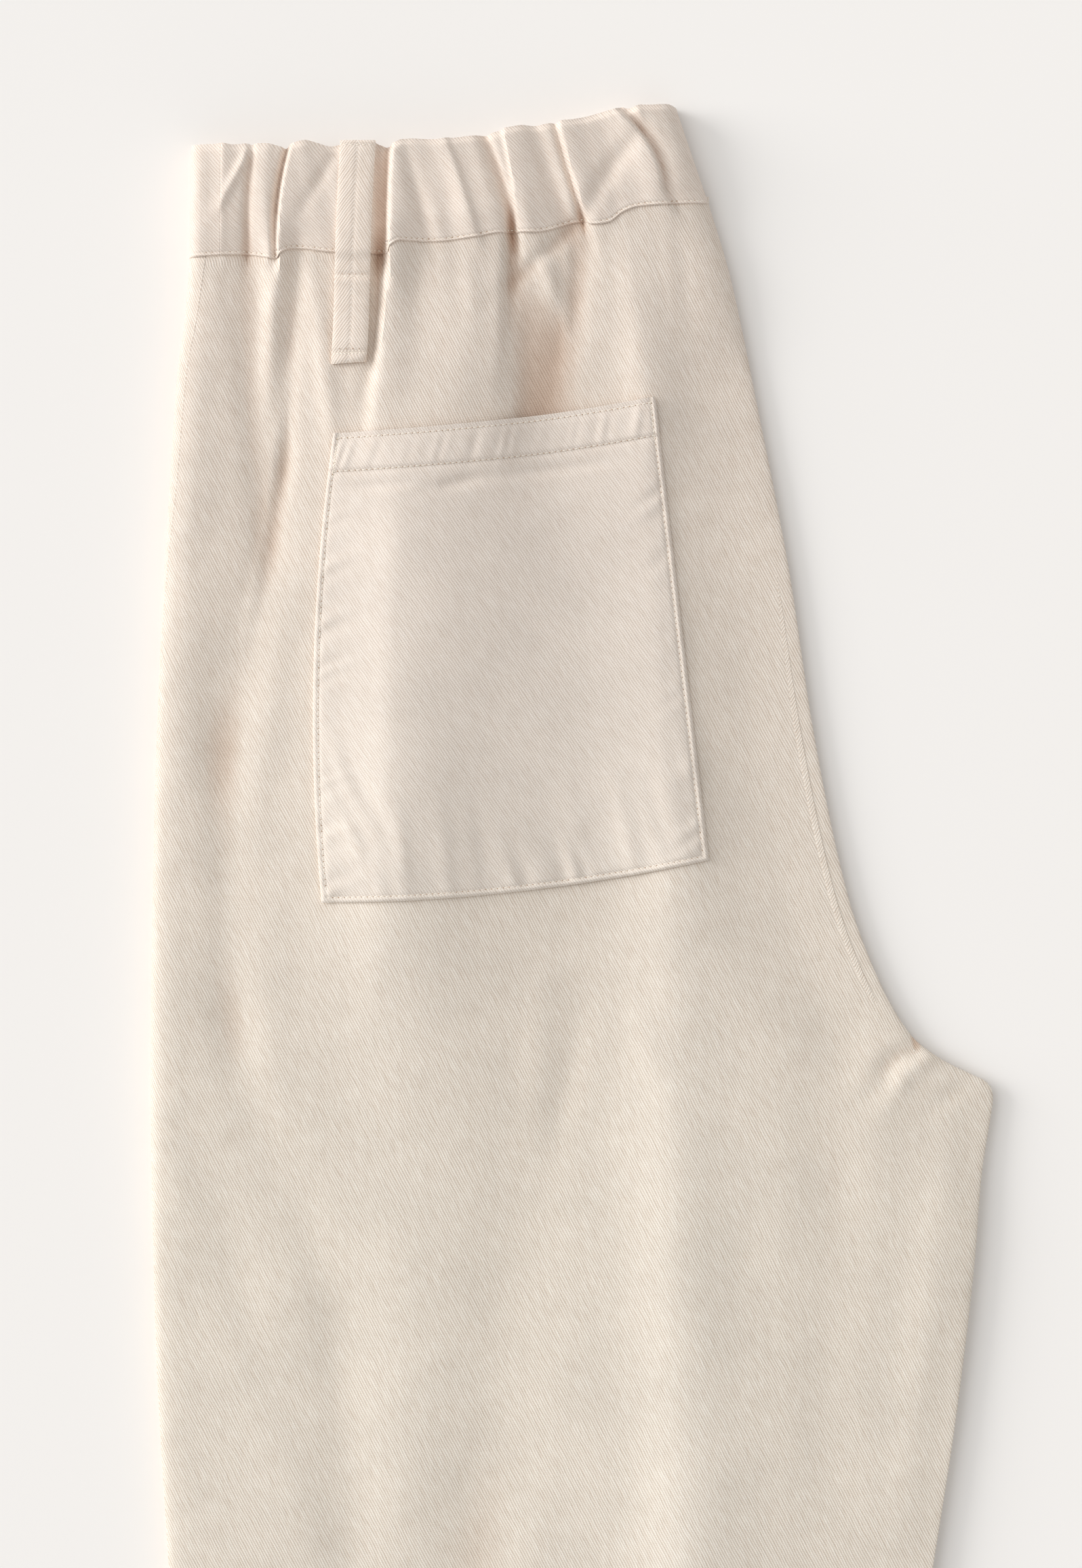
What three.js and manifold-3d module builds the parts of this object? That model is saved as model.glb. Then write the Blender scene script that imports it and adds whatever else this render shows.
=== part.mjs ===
// Tapered cotton twill trousers, folded in half down the middle and laid flat, back of the left leg on top.
// Millimetres, +Z up, waist towards +Y, hems towards -Y, centre back seam and inseam towards +X.
// The fronts lie inside the fold: from the top the plies are back left, front left, front right, back right.
import * as THREE from "three";
import { mergeVertices } from "three/addons/utils/BufferGeometryUtils.js";
import Module from "manifold-3d";

const wasm = await Module();
wasm.setup();

// Driving dimensions
const CLOTH = 1.2; // one ply of washed twill, with its nap
const FRONT_BAND = 2; // flat front band, two plies and facing
const BACK_BAND = 3; // elasticated back band, two plies and elastic
const SEAM_GAP = 0.3; // between pieces sewn edge to edge
const LAYER_GAP = 0.6; // between a ply and the layers under it
const HEM_Y = -505; // hem edge of both legs
const WAIST_LEFT_Y = 445.7; // waist seam where it meets the outseam fold
const BAND_TOP_LEFT_Y = 489.2; // top edge of the band at the outseam fold
const SEAT_LEVEL_Y = 300; // below this the cross sections run straight across
const CROTCH_Y = 127; // four-way crotch seam
const BAND_STAND = 1.6; // how far the band stands proud of the panels at the waist seam
const CREAM = 0xe8ddcd;
const CREAM_BAND = 0xeadfd0;
const CREAM_HIDDEN = 0xe0d3c2;

// Left edge of the folded garment, which is the outseam fold, and what changes slowly along it.
// crown is the height of the top ply, foldHigh and parting the heights of the upper leg's fold and
// of the parting between the two legs, strip how much of the front shows beside the side seam.
const outseam = [
  { y: 446, left: -146.6, crown: 14.2, foldHigh: 8.4, parting: 5.6, strip: 6.3 },
  { y: 420, left: -148.9, crown: 13.6, foldHigh: 7.6, parting: 5.1, strip: 4.7 },
  { y: 405, left: -151.2, crown: 13.2, foldHigh: 7.2, parting: 4.9, strip: 4 },
  { y: 360, left: -154.4, crown: 12.6, foldHigh: 6.8, parting: 4.6, strip: 3 },
  { y: 328, left: -156.4, crown: 12.3, foldHigh: 6.7, parting: 4.5, strip: 1.4 },
  { y: 300, left: -157.9, crown: 12.1, foldHigh: 6.6, parting: 4.5, strip: 0.6 },
  { y: 230, left: -160.4, crown: 11.6, foldHigh: 6.6, parting: 4.4, strip: 0.3 },
  { y: 130, left: -161.8, crown: 11, foldHigh: 6.5, parting: 4.4, strip: 0.3 },
  { y: 40, left: -160.2, crown: 10.4, foldHigh: 6.4, parting: 4.3, strip: 0.3 },
  { y: -55, left: -155, crown: 10, foldHigh: 6.4, parting: 4.2, strip: 0.3 },
  { y: -200, left: -144, crown: 9.6, foldHigh: 6.3, parting: 4.2, strip: 0.3 },
  { y: -360, left: -131, crown: 9.2, foldHigh: 6.2, parting: 4.1, strip: 0.3 },
  { y: -505, left: -118, crown: 8.8, foldHigh: 6.2, parting: 4.1, strip: 0.3 },
];

// Right edge: the centre back seam down to the crotch, then the inseam down to the hem.
const seatAndInseam = [
  { y: 467, right: 52.4 },
  { y: 440, right: 60.4 },
  { y: 389, right: 71.1 },
  { y: 327, right: 83.1 },
  { y: 264, right: 92.7 },
  { y: 202, right: 105.7 },
  { y: 171, right: 116.9 },
  { y: 148, right: 130.1 },
  { y: 139, right: 141.5 },
  { y: 131, right: 156.2 },
  { y: 126, right: 161.6 },
  { y: 119, right: 160.4 },
  { y: 93, right: 156.9 },
  { y: 62, right: 154.4 },
  { y: 0, right: 147 },
  { y: -55, right: 138.5 },
  { y: -200, right: 115.5 },
  { y: -360, right: 90 },
  { y: -505, right: 70 },
];

// The waist seam and the band's top edge rise towards the centre back. across runs from 0 at the outseam
// fold to 1 at the centre back, seam and top are heights above their left ends.
const waistLines = [
  { across: 0, seam: 0, top: 0 },
  { across: 0.2, seam: 2, top: 0.2 },
  { across: 0.45, seam: 6.2, top: 2.1 },
  { across: 0.6, seam: 9, top: 4.7 },
  { across: 0.75, seam: 13, top: 8.9 },
  { across: 0.88, seam: 18.6, top: 14.1 },
  { across: 1, seam: 21, top: 15.7 },
];

// Gathers of the elasticated band, ridges above zero and grooves below, each from the band's top edge
// (x0, y0) towards the panel (x1, y1). width is to one side, from and to are heights at the two ends.
const gathers = [
  { x0: -123, y0: 489, x1: -135, y1: 468, width: 1.7, from: 1.6, to: 1.2 },
  { x0: -123, y0: 490, x1: -124, y1: 448, width: 2.2, from: -3.4, to: -2.8 },
  { x0: -117, y0: 490, x1: -119, y1: 448, width: 4, from: 2, to: 1.6 },
  { x0: -107, y0: 489, x1: -113, y1: 446, width: 2.3, from: -2.4, to: -2 },
  { x0: -101, y0: 490, x1: -108, y1: 447, width: 5.5, from: 2.6, to: 3 },
  { x0: -83, y0: 490, x1: -84, y1: 446, width: 8, from: -1.4, to: -1.6 },
  { x0: -71.5, y0: 490, x1: -72.5, y1: 444, width: 2.8, from: -4.6, to: -4.6 },
  { x0: -65, y0: 491, x1: -69.5, y1: 447, width: 2.8, from: 2.8, to: 3 },
  { x0: -62, y0: 489, x1: -54, y1: 452, width: 3.2, from: -3, to: -3 },
  { x0: -50, y0: 492, x1: -38, y1: 454, width: 5, from: 2.2, to: 2.8 },
  { x0: -31, y0: 493, x1: -22.5, y1: 454, width: 3.1, from: -4.6, to: -5 },
  { x0: -24, y0: 495, x1: -19, y1: 455, width: 4, from: 2.8, to: 3.2 },
  { x0: -10, y0: 497, x1: -7, y1: 478, width: 2.6, from: -2.4, to: -1.4 },
  { x0: -4, y0: 498, x1: 5, y1: 460, width: 2.8, from: 2.4, to: 2.6 },
  { x0: 1.5, y0: 498, x1: 8, y1: 469, width: 2.4, from: -2.8, to: -1.4 },
  { x0: 11, y0: 500, x1: 16, y1: 464, width: 5.5, from: 2, to: 2 },
  { x0: 21, y0: 494, x1: 29, y1: 465, width: 5, from: 2.2, to: 3 },
  { x0: 20, y0: 501, x1: 36.5, y1: 466, width: 2.7, from: -3.4, to: -3.6 },
  { x0: 28, y0: 504, x1: 41.5, y1: 470, width: 3, from: 1.4, to: 1.6 },
];

// Folds of the back panel: from (x0, y0) to (x1, y1), bow is how far the middle bends towards +X,
// width is to one side, and from, mid and to are heights at the start, middle and end.
const folds = [
  { x0: -141, y0: 441, x1: -151, y1: 207, bow: 0, width: 9, from: 1.6, mid: 1.8, to: 1 },
  { x0: -124, y0: 444, x1: -134, y1: 272, bow: 0, width: 8.5, from: -3, mid: -2.6, to: -1.5 },
  { x0: -134, y0: 272, x1: -126, y1: 155, bow: -2, width: 10, from: -1.4, mid: -2, to: -1.4 },
  { x0: -126, y0: 155, x1: -74, y1: -53, bow: 4, width: 12, from: -1.4, mid: -1.6, to: -1 },
  { x0: -112, y0: 446, x1: -118, y1: 389, bow: -1, width: 3.6, from: 3, mid: 2.8, to: 0.6 },
  { x0: -106, y0: 445, x1: -106, y1: 363, bow: -1, width: 6, from: -3.8, mid: -3.4, to: -0.6 },
  { x0: -98.5, y0: 443, x1: -97, y1: 378, bow: -2, width: 4.6, from: 1.6, mid: 2.4, to: 1.6 },
  { x0: -86, y0: 446, x1: -88, y1: 400, bow: 0, width: 7, from: -1.6, mid: -1.2, to: -0.2 },
  { x0: -70.5, y0: 446, x1: -77.5, y1: 379, bow: 0, width: 5, from: 3.4, mid: 3, to: 1 },
  { x0: -60, y0: 451, x1: -60.5, y1: 431, bow: 0, width: 7, from: -2.8, mid: -2, to: -0.4 },
  { x0: -28, y0: 454, x1: -49, y1: 383, bow: 3, width: 9, from: 3.6, mid: 4.2, to: 2.2 },
  { x0: -10, y0: 455, x1: -6, y1: 381, bow: 0, width: 15, from: -4.4, mid: -6, to: -3.2 },
  { x0: -5, y0: 451, x1: -13, y1: 423, bow: -2, width: 5, from: 2.4, mid: 2, to: 0.6 },
  { x0: 34, y0: 461, x1: 30, y1: 379, bow: 0, width: 13, from: 3, mid: 3.6, to: 3 },
  { x0: 37, y0: 440, x1: 53, y1: 220, bow: 0, width: 24, from: 2, mid: 4.4, to: 5.4 },
  { x0: 53, y0: 220, x1: 43, y1: -56, bow: 0, width: 26, from: 5.4, mid: 5.4, to: 4.6 },
  { x0: 43, y0: -56, x1: 0, y1: -390, bow: 0, width: 23, from: 4.6, mid: 2.8, to: 0.8 },
  { x0: 96, y0: 194, x1: 94, y1: -14, bow: 0, width: 14, from: -0.6, mid: -2.2, to: -1.2 },
  { x0: -49, y0: 383, x1: -53, y1: 220, bow: 0, width: 18, from: 1.6, mid: 4.2, to: 2.4 },
  { x0: -2, y0: 381, x1: -4, y1: 220, bow: 0, width: 21, from: -2.4, mid: -4, to: -2.2 },
  { x0: -8, y0: 155, x1: -38, y1: -56, bow: 0, width: 20, from: -1, mid: -2.4, to: -1.8 },
  { x0: -74, y0: 200, x1: -53, y1: 0, bow: 0, width: 24, from: 0.8, mid: 1.8, to: 1.2 },
  { x0: 122, y0: 142, x1: 116, y1: 128, bow: 0, width: 8, from: -1.8, mid: -1.8, to: -0.6 },
  { x0: 144, y0: 103, x1: 126, y1: -40, bow: 0, width: 8, from: 0.8, mid: 1.4, to: 0.8 },
  { x0: -38, y0: -56, x1: -52, y1: -320, bow: 4, width: 18, from: -1.8, mid: -1.8, to: -0.6 },
  { x0: -118, y0: -150, x1: -44, y1: -196, bow: -5, width: 9, from: 0, mid: -1.4, to: 0 },
  { x0: 106, y0: -140, x1: 38, y1: -212, bow: 5, width: 9, from: 0, mid: -1.6, to: 0 },
  { x0: -96, y0: -236, x1: -84, y1: -430, bow: 3, width: 11, from: 0.4, mid: 1.4, to: 0.4 },
];

const clamp01 = (t) => Math.min(1, Math.max(0, t));
const lerp = (a, b, t) => a + (b - a) * t;
const smoothstep = (t) => clamp01(t) ** 2 * (3 - 2 * clamp01(t));

// Smooth curve through a table's rows: column value at the place where column key equals at.
function along(rows, key, value, at) {
  const rising = rows[rows.length - 1][key] > rows[0][key];
  const r = rising ? rows : [...rows].reverse();
  const n = r.length;
  const inside = Math.min(Math.max(at, r[0][key]), r[n - 1][key]);
  let i = 0;
  while (i < n - 2 && inside > r[i + 1][key]) i += 1;
  const slope = (k) => (r[k + 1][value] - r[k][value]) / (r[k + 1][key] - r[k][key]);
  const tangent = (k) => {
    if (k === 0) return slope(0);
    if (k === n - 1) return slope(n - 2);
    const before = slope(k - 1);
    const after = slope(k);
    return before * after <= 0 ? 0 : (2 * before * after) / (before + after);
  };
  const h = r[i + 1][key] - r[i][key];
  const t = (inside - r[i][key]) / h;
  const a = r[i][value] * (1 + 2 * t) + h * tangent(i) * t;
  const b = r[i + 1][value] * (3 - 2 * t) - h * tangent(i + 1) * (1 - t);
  return a * (1 - t) ** 2 + b * t * t;
}

// Height that one fold adds at (x, y): a soft ridge or trough along its line, dying away past its ends.
function foldHeight(f, x, y) {
  const dx = f.x1 - f.x0;
  const dy = f.y1 - f.y0;
  const length = Math.hypot(dx, dy);
  const run = ((x - f.x0) * dx + (y - f.y0) * dy) / length;
  const t = clamp01(run / length);
  const past = run - t * length;
  const bow = (f.bow ?? 0) * 4 * t * (1 - t);
  const side = ((x - f.x0) * -dy + (y - f.y0) * dx) / length - bow;
  const mid = f.mid ?? (f.from + f.to) / 2;
  const height = lerp(f.from, f.to, t) + (mid - (f.from + f.to) / 2) * 4 * t * (1 - t);
  const reach = 2 * f.width + 4;
  return height * Math.exp(-((side / f.width) ** 2) - (past / reach) ** 2);
}

const relief = (x, y) => [...gathers, ...folds].reduce((sum, f) => sum + foldHeight(f, x, y), 0);

// How far in from each edge the waistband rolls over
const BAND_ROLL = { left: 14, right: 13 };

// Everything that a cross section of the legs and seat needs, for the row that starts at height y
// on the outseam fold.
function panelRow(y) {
  const fade = smoothstep((y - SEAT_LEVEL_Y) / (WAIST_LEFT_Y - SEAT_LEVEL_Y));
  const rise = (across) => fade * along(waistLines, "across", "seam", across);
  const left = along(outseam, "y", "left", y);
  const right = along(seatAndInseam, "y", "right", y + rise(1));
  const legs = smoothstep((CROTCH_Y + 2 - y) / 60); // 0 in the seat, 1 where the legs are apart
  const waist = smoothstep((y - 380) / (WAIST_LEFT_Y - 380)); // 1 at the waist seam
  const value = (name) => along(outseam, "y", name, y);
  return {
    left,
    right,
    yAt: (across) => y + rise(across),
    crown: value("crown"),
    high: value("foldHigh"),
    parting: value("parting"),
    strip: value("strip"),
    rollLeft: lerp(11, BAND_ROLL.left, waist),
    rollRight: lerp(lerp(15, 9, legs), BAND_ROLL.right, waist),
    legs,
    rightSeam: lerp(4.6, 6.3, legs),
    rightParting: lerp(3.7, 4.2, legs),
    rightDip: lerp(0.7, 5, legs),
    ply: CLOTH,
    wrap: CLOTH,
    over: relief,
  };
}

// The same for the waistband, where up runs from 0 at the waist seam to 1 at the top edge.
function bandRow(up) {
  const seam = (across) => WAIST_LEFT_Y + SEAM_GAP + along(waistLines, "across", "seam", across);
  const top = (across) => BAND_TOP_LEFT_Y + along(waistLines, "across", "top", across);
  const edge = smoothstep((up - 0.9) / 0.1); // the top edge rounds over
  return {
    left: lerp(-146.8, -146, up),
    right: lerp(52.2, 39.8, up),
    yAt: (across) => lerp(seam(across), top(across), up),
    crown: 14.2 + BAND_STAND + 0.4 * up - 1.3 * edge,
    high: 8.6,
    parting: 5.6,
    strip: lerp(11.8, 11.4, up),
    rollLeft: BAND_ROLL.left,
    rollRight: BAND_ROLL.right,
    legs: 0,
    rightSeam: 6,
    rightParting: 5.1,
    rightDip: 0.7,
    ply: BACK_BAND,
    wrap: FRONT_BAND,
    over: relief,
  };
}

const point = (row, x, z) => [x, row.yAt(clamp01((x - row.left) / (row.right - row.left))), z];

// Height of the top ply's outer face, inset by depth, at x inside the roll of either edge.
function topPoint(row, x, inset, rollHeight, edgeZ, y) {
  const full = row.crown + row.over(x, y) - inset;
  return edgeZ + (full - edgeZ) * rollHeight;
}

// A point on the left roll: angle 0 at the fold's outermost line, a quarter turn on top.
function leftRoll(row, angle, inset) {
  const outerX = row.left + row.rollLeft * (1 - Math.cos(angle));
  const x = row.left + row.rollLeft - (row.rollLeft - inset) * Math.cos(angle);
  const y = point(row, outerX, 0)[1];
  return [x, y, topPoint(row, outerX, inset, Math.sin(angle), row.high, y)];
}

// The same on the right, where angle 0 is the centre back seam or the inseam.
function rightRoll(row, angle, inset) {
  const outerX = row.right - row.rollRight * (1 - Math.cos(angle));
  const x = row.right - row.rollRight + (row.rollRight - inset) * Math.cos(angle);
  const y = point(row, outerX, 0)[1];
  return [x, y, topPoint(row, outerX, inset, Math.sin(angle), row.rightSeam, y)];
}

const evenly = (from, to, steps) => Array.from({ length: steps + 1 }, (_, i) => lerp(from, to, i / steps));

// Places across the flat of the top, crowded where the crotch draws them out.
function middle(row, inset, steps) {
  const from = row.left + row.rollLeft;
  const to = row.right - row.rollRight;
  return evenly(0, 1, steps)
    .slice(1, -1)
    .map((s) => {
      const x = lerp(from, to, s);
      const y = point(row, x, 0)[1];
      return [x, y, topPoint(row, x, inset, 1, 0, y)];
    });
}

const QUARTER = Math.PI / 2;

// Angle on the left roll of the side seam, which is strip in from the fold.
const seamAngle = (row) => Math.max(0.21, Math.acos(1 - row.strip / row.rollLeft));

// Angle that the seam gap takes up at the side seam.
function gapAngle(row) {
  const a = seamAngle(row);
  return SEAM_GAP / Math.hypot(row.rollLeft * Math.sin(a), (row.crown - row.high) * Math.cos(a));
}

// Face of a top piece, from the side seam over the top to the right edge.
function topFace(row, inset, counts) {
  return [
    ...evenly(seamAngle(row), QUARTER, counts.left).map((a) => leftRoll(row, a, inset)),
    ...middle(row, inset, counts.middle),
    ...evenly(QUARTER, 0, counts.right).map((a) => rightRoll(row, a, inset)),
  ];
}

// Face of a front piece, from the side seam round the outseam fold and down to the parting of the legs.
const FOLD_IN = 5; // how far the fold's under half runs in from its outermost line
function foldFace(row, inset) {
  const under = evenly(0, QUARTER, 3).slice(1);
  return [
    ...evenly(seamAngle(row) - gapAngle(row), 0, 3).map((a) => leftRoll(row, a, inset)),
    ...under.map((a) =>
      point(
        row,
        row.left + FOLD_IN - (FOLD_IN - inset) * Math.cos(a),
        row.high - (row.high - row.parting - inset) * Math.sin(a),
      ),
    ),
  ];
}

// Closed outline of the hidden layers: under the top ply, round the parted edges, flat below.
const UNDER_EDGE = 4; // how far the lowest edge rounds in to the flat underside
function hiddenOutline(row, counts, hemDrop = 0) {
  const inset = row.ply + LAYER_GAP + hemDrop;
  const wrapInset = row.wrap + LAYER_GAP;
  const { left, right, high, parting, rightSeam, rightParting, rightDip, legs } = row;
  const notch = left + FOLD_IN + 0.4;
  const lowLeft = (parting - 0.4) / 2;
  const lowRight = lerp(2.6, (rightParting - 0.4) / 2, legs);
  const inRight = lerp(0.2, 0.8, legs);
  const dipX = right - rightDip;
  const ledge = rightSeam - SEAM_GAP;
  const arc = (cx, cz, rx, rz, from, to, steps) =>
    evenly(from, to, steps).map((a) => point(row, cx + rx * Math.cos(a), cz + rz * Math.sin(a)));
  const flatFrom = right - inRight - UNDER_EDGE;
  const flatTo = left + 0.8 + UNDER_EDGE;
  return [
    ...evenly(0.02, QUARTER, counts.left).map((a) => leftRoll(row, a, Math.max(inset, wrapInset))),
    ...middle(row, inset, counts.middle),
    ...evenly(QUARTER, 0, counts.right).map((a) => rightRoll(row, a, inset)),
    point(row, right - inset, ledge),
    ...arc(dipX, ledge, rightDip - 0.15, ledge - rightParting, 0, -QUARTER, 3),
    point(row, dipX - 1, rightParting - 0.25),
    ...arc(dipX, lowRight, rightDip - inRight, rightParting - 0.5 - lowRight, QUARTER, 0, 3),
    ...arc(flatFrom, lowRight, UNDER_EDGE, lowRight, 0, -QUARTER, 3).slice(1),
    ...evenly(flatFrom, flatTo, 5)
      .slice(1, -1)
      .map((x) => point(row, x, 0)),
    ...arc(flatTo, lowLeft, UNDER_EDGE, lowLeft, -QUARTER, -2 * QUARTER, 3),
    ...arc(notch, lowLeft, notch - left - 0.8, parting - 0.4 - lowLeft, 2 * QUARTER, QUARTER, 3).slice(1),
    point(row, notch, parting + wrapInset),
    ...evenly(0.01, 1, 3)
      .slice(0, -1)
      .map((t) => {
        const a = (1 - t) * QUARTER;
        const x = left + FOLD_IN - (FOLD_IN - wrapInset) * Math.cos(a);
        return point(row, x, high - (high - parting - wrapInset) * Math.sin(a));
      }),
  ];
}

// Closed mesh from points and faces, turned to face outwards.
function closedMesh(points, faces) {
  const position = new Float32Array(points.flat());
  const volume = faces.reduce((sum, [a, b, c]) => {
    const [p, q, r] = [points[a], points[b], points[c]];
    const [u, v, w] = [q[1] * r[2] - q[2] * r[1], q[2] * r[0] - q[0] * r[2], q[0] * r[1] - q[1] * r[0]];
    return sum + p[0] * u + p[1] * v + p[2] * w;
  }, 0);
  const geometry = new THREE.BufferGeometry();
  geometry.setAttribute("position", new THREE.BufferAttribute(position, 3));
  geometry.setIndex(faces.flatMap(([a, b, c]) => (volume < 0 ? [a, c, b] : [a, b, c])));
  geometry.computeVertexNormals();
  return geometry;
}

// Wall between an outer and an inner face, each a list of rows with as many points.
function wall(outer, inner) {
  const rows = outer.length;
  const columns = outer[0].length;
  const at = (layer, r, c) => (layer * rows + r) * columns + c;
  const faces = [];
  const quad = (a, b, c, d) => faces.push([a, b, c], [a, c, d]);
  for (let r = 0; r < rows - 1; r += 1) {
    for (let c = 0; c < columns - 1; c += 1) {
      quad(at(0, r, c), at(0, r + 1, c), at(0, r + 1, c + 1), at(0, r, c + 1));
      quad(at(1, r, c), at(1, r, c + 1), at(1, r + 1, c + 1), at(1, r + 1, c));
    }
    quad(at(0, r, 0), at(1, r, 0), at(1, r + 1, 0), at(0, r + 1, 0));
    const last = columns - 1;
    quad(at(0, r, last), at(0, r + 1, last), at(1, r + 1, last), at(1, r, last));
  }
  for (let c = 0; c < columns - 1; c += 1) {
    quad(at(0, 0, c), at(0, 0, c + 1), at(1, 0, c + 1), at(1, 0, c));
    quad(at(0, rows - 1, c), at(1, rows - 1, c), at(1, rows - 1, c + 1), at(0, rows - 1, c + 1));
  }
  return closedMesh([...outer.flat(), ...inner.flat()], faces);
}

// Solid through closed outlines with as many points, capped at both ends.
function loft(outlines) {
  const n = outlines[0].length;
  const last = outlines.length - 1;
  const faces = [];
  for (let r = 0; r < last; r += 1) {
    for (let i = 0; i < n; i += 1) {
      const [a, b] = [r * n + i, r * n + ((i + 1) % n)];
      faces.push([a, a + n, b + n], [a, b + n, b]);
    }
  }
  const flat = (r) => outlines[r].map(([x, , z]) => new THREE.Vector2(x, z));
  const clockwise = THREE.ShapeUtils.isClockWise(flat(0));
  const cap = (r, flip) => {
    for (const [a, b, c] of THREE.ShapeUtils.triangulateShape(flat(r), [])) {
      faces.push(flip ? [r * n + a, r * n + c, r * n + b] : [r * n + a, r * n + b, r * n + c]);
    }
  };
  cap(0, clockwise);
  cap(last, !clockwise);
  return closedMesh(outlines.flat(), faces);
}

// manifold-3d solid of a closed geometry, and back.
function toSolid(geometry) {
  const bare = geometry.clone();
  bare.deleteAttribute("normal");
  bare.deleteAttribute("uv");
  const merged = mergeVertices(bare, 1e-4);
  const vertProperties = new Float32Array(merged.getAttribute("position").array);
  const triVerts = new Uint32Array(merged.getIndex().array);
  return new wasm.Manifold(new wasm.Mesh({ numProp: 3, vertProperties, triVerts }));
}

function toGeometry(solid) {
  const mesh = solid.getMesh();
  const geometry = new THREE.BufferGeometry();
  geometry.setAttribute("position", new THREE.BufferAttribute(new Float32Array(mesh.vertProperties), 3));
  geometry.setIndex(Array.from(mesh.triVerts));
  geometry.computeVertexNormals();
  return geometry;
}

// Rows of the legs, close together where the gathers run out and where the crotch turns.
const panelHeights = [
  ...evenly(WAIST_LEFT_Y, 395, 7),
  380, 360, 338, 314, 290, 264, 238, 214, 190, 170, 158, 148, 141, 136, 131, 127, 122, 112, 96,
  ...evenly(72, -60, 4),
  ...evenly(-110, -485, 6),
  HEM_Y,
];
const panelRows = panelHeights.map(panelRow);
const bandRows = [0, 0.22, 0.45, 0.68, 0.86, 0.95, 1].map(bandRow);

const PANEL = { left: 2, middle: 32, right: 4 };
const BAND = { left: 2, middle: 2 * PANEL.middle, right: 4 };

// Outer faces of the top pieces
const panelFace = panelRows.map((row) => topFace(row, 0, PANEL));
const bandFace = bandRows.map((row) => topFace(row, 0, BAND));

// Slots that part the hidden plies at the hems and at the waist: height of the slot, how far it runs in
// from the end, and its two ends across the garment.
const SLOT = 0.5;
const HEM_SLOTS = [
  { z: 2.05, depth: 14, from: -114, to: 66 }, // the right leg's opening, closed at its seams
  { z: 4.15, depth: 14, from: -130, to: 90 }, // between the legs, open at both sides
];
const WAIST_SLOTS = [
  { z: 2.9, depth: 14, from: -141, to: 35 }, // right front and right back
  { z: 5.35, depth: 14, from: -160, to: 35 }, // left front and right front, joined at the centre front
];
const slotCutter = (end, s) =>
  new THREE.BoxGeometry(s.to - s.from, 2 * s.depth, SLOT).translate((s.from + s.to) / 2, end, s.z);

// Cutter for what lies past a line across the garment: towards the waist with side 1, the hems with -1.
// The line runs from x = left to x = right and rises with a column of waistLines from the height base.
function pastLine(left, right, base, column, side) {
  const overhang = 20;
  const line = evenly(left - overhang, right + overhang, 26).map((x) => {
    const across = clamp01((x - left) / (right - left));
    return new THREE.Vector2(x, base + along(waistLines, "across", column, across));
  });
  const reach = 80 * side;
  const corners = [line[line.length - 1], line[0]].map((end) => new THREE.Vector2(end.x, base + reach));
  const shape = new THREE.Shape([...line, ...corners]);
  return new THREE.ExtrudeGeometry(shape, { depth: 60, bevelEnabled: false }).translate(0, 0, -20);
}

function carve(geometry, cutters) {
  return toGeometry(cutters.reduce((solid, cutter) => solid.subtract(toSolid(cutter)), toSolid(geometry)));
}

function backLeft() {
  const inner = panelRows.map((row) => topFace(row, CLOTH, PANEL));
  return wall(panelFace, inner);
}

function frontLeft() {
  return wall(
    panelRows.map((row) => foldFace(row, 0)),
    panelRows.map((row) => foldFace(row, CLOTH)),
  );
}

// Front left under the back, and the whole right leg: one rounded solid, parted at its edges.
const HEM_GAPE = 1.1; // the left leg's opening stands a little open at the hem
const TRIM = 8; // the hidden layers are made this much longer than the waist seam, then cut to it
function legLayers() {
  const gape = (y) => HEM_GAPE * smoothstep((HEM_Y + 20 - y) / 8);
  const counts = { ...PANEL, left: 3 };
  const outlines = panelRows.map((row, i) => hiddenOutline(row, counts, gape(panelHeights[i])));
  const first = panelRows[0];
  const beyond = hiddenOutline({ ...first, yAt: (across) => first.yAt(across) + TRIM }, counts);
  return carve(loft([beyond, ...outlines]), [
    pastLine(first.left, first.right, WAIST_LEFT_Y - SEAM_GAP / 2, "seam", 1),
    ...HEM_SLOTS.map((slot) => slotCutter(HEM_Y, slot)),
  ]);
}

function waistbandBackLeft() {
  const inner = bandRows.map((row) => topFace(row, BACK_BAND, BAND));
  return wall(bandFace, inner);
}

function waistbandFrontLeft() {
  return wall(
    bandRows.map((row) => foldFace(row, 0)),
    bandRows.map((row) => foldFace(row, FRONT_BAND)),
  );
}

// The front band is flat, so the gathers of the back band stand hollow over it.
const DEEPEST_GATHER = 5.3;
const SINK_FROM = 4; // the front band leaves the outseam fold here and lies level SINK_RUN further in
const SINK_RUN = 20;
const FRONT_BAND_RIPPLE = 0.06; // share of the gathers that the flat front takes
function waistbandLayers() {
  const flat = (row) => {
    const sink = (x) => DEEPEST_GATHER * smoothstep((x - row.left - SINK_FROM) / SINK_RUN);
    return { ...row, over: (x, y) => FRONT_BAND_RIPPLE * relief(x, y) - sink(x) };
  };
  const rows = [-0.2, 0, 0.5, 0.9, 1, 1.2].map((up) => flat(bandRow(up)));
  const [first, last] = [bandRows[0], bandRows[bandRows.length - 1]];
  return carve(loft(rows.map((row) => hiddenOutline(row, { left: 3, middle: 16, right: 4 }))), [
    pastLine(first.left, first.right, WAIST_LEFT_Y + SEAM_GAP, "seam", -1),
    pastLine(last.left, last.right, BAND_TOP_LEFT_Y, "top", 1),
    ...WAIST_SLOTS.map((slot) => slotCutter(BAND_TOP_LEFT_Y + 8, slot)),
  ]);
}

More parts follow.
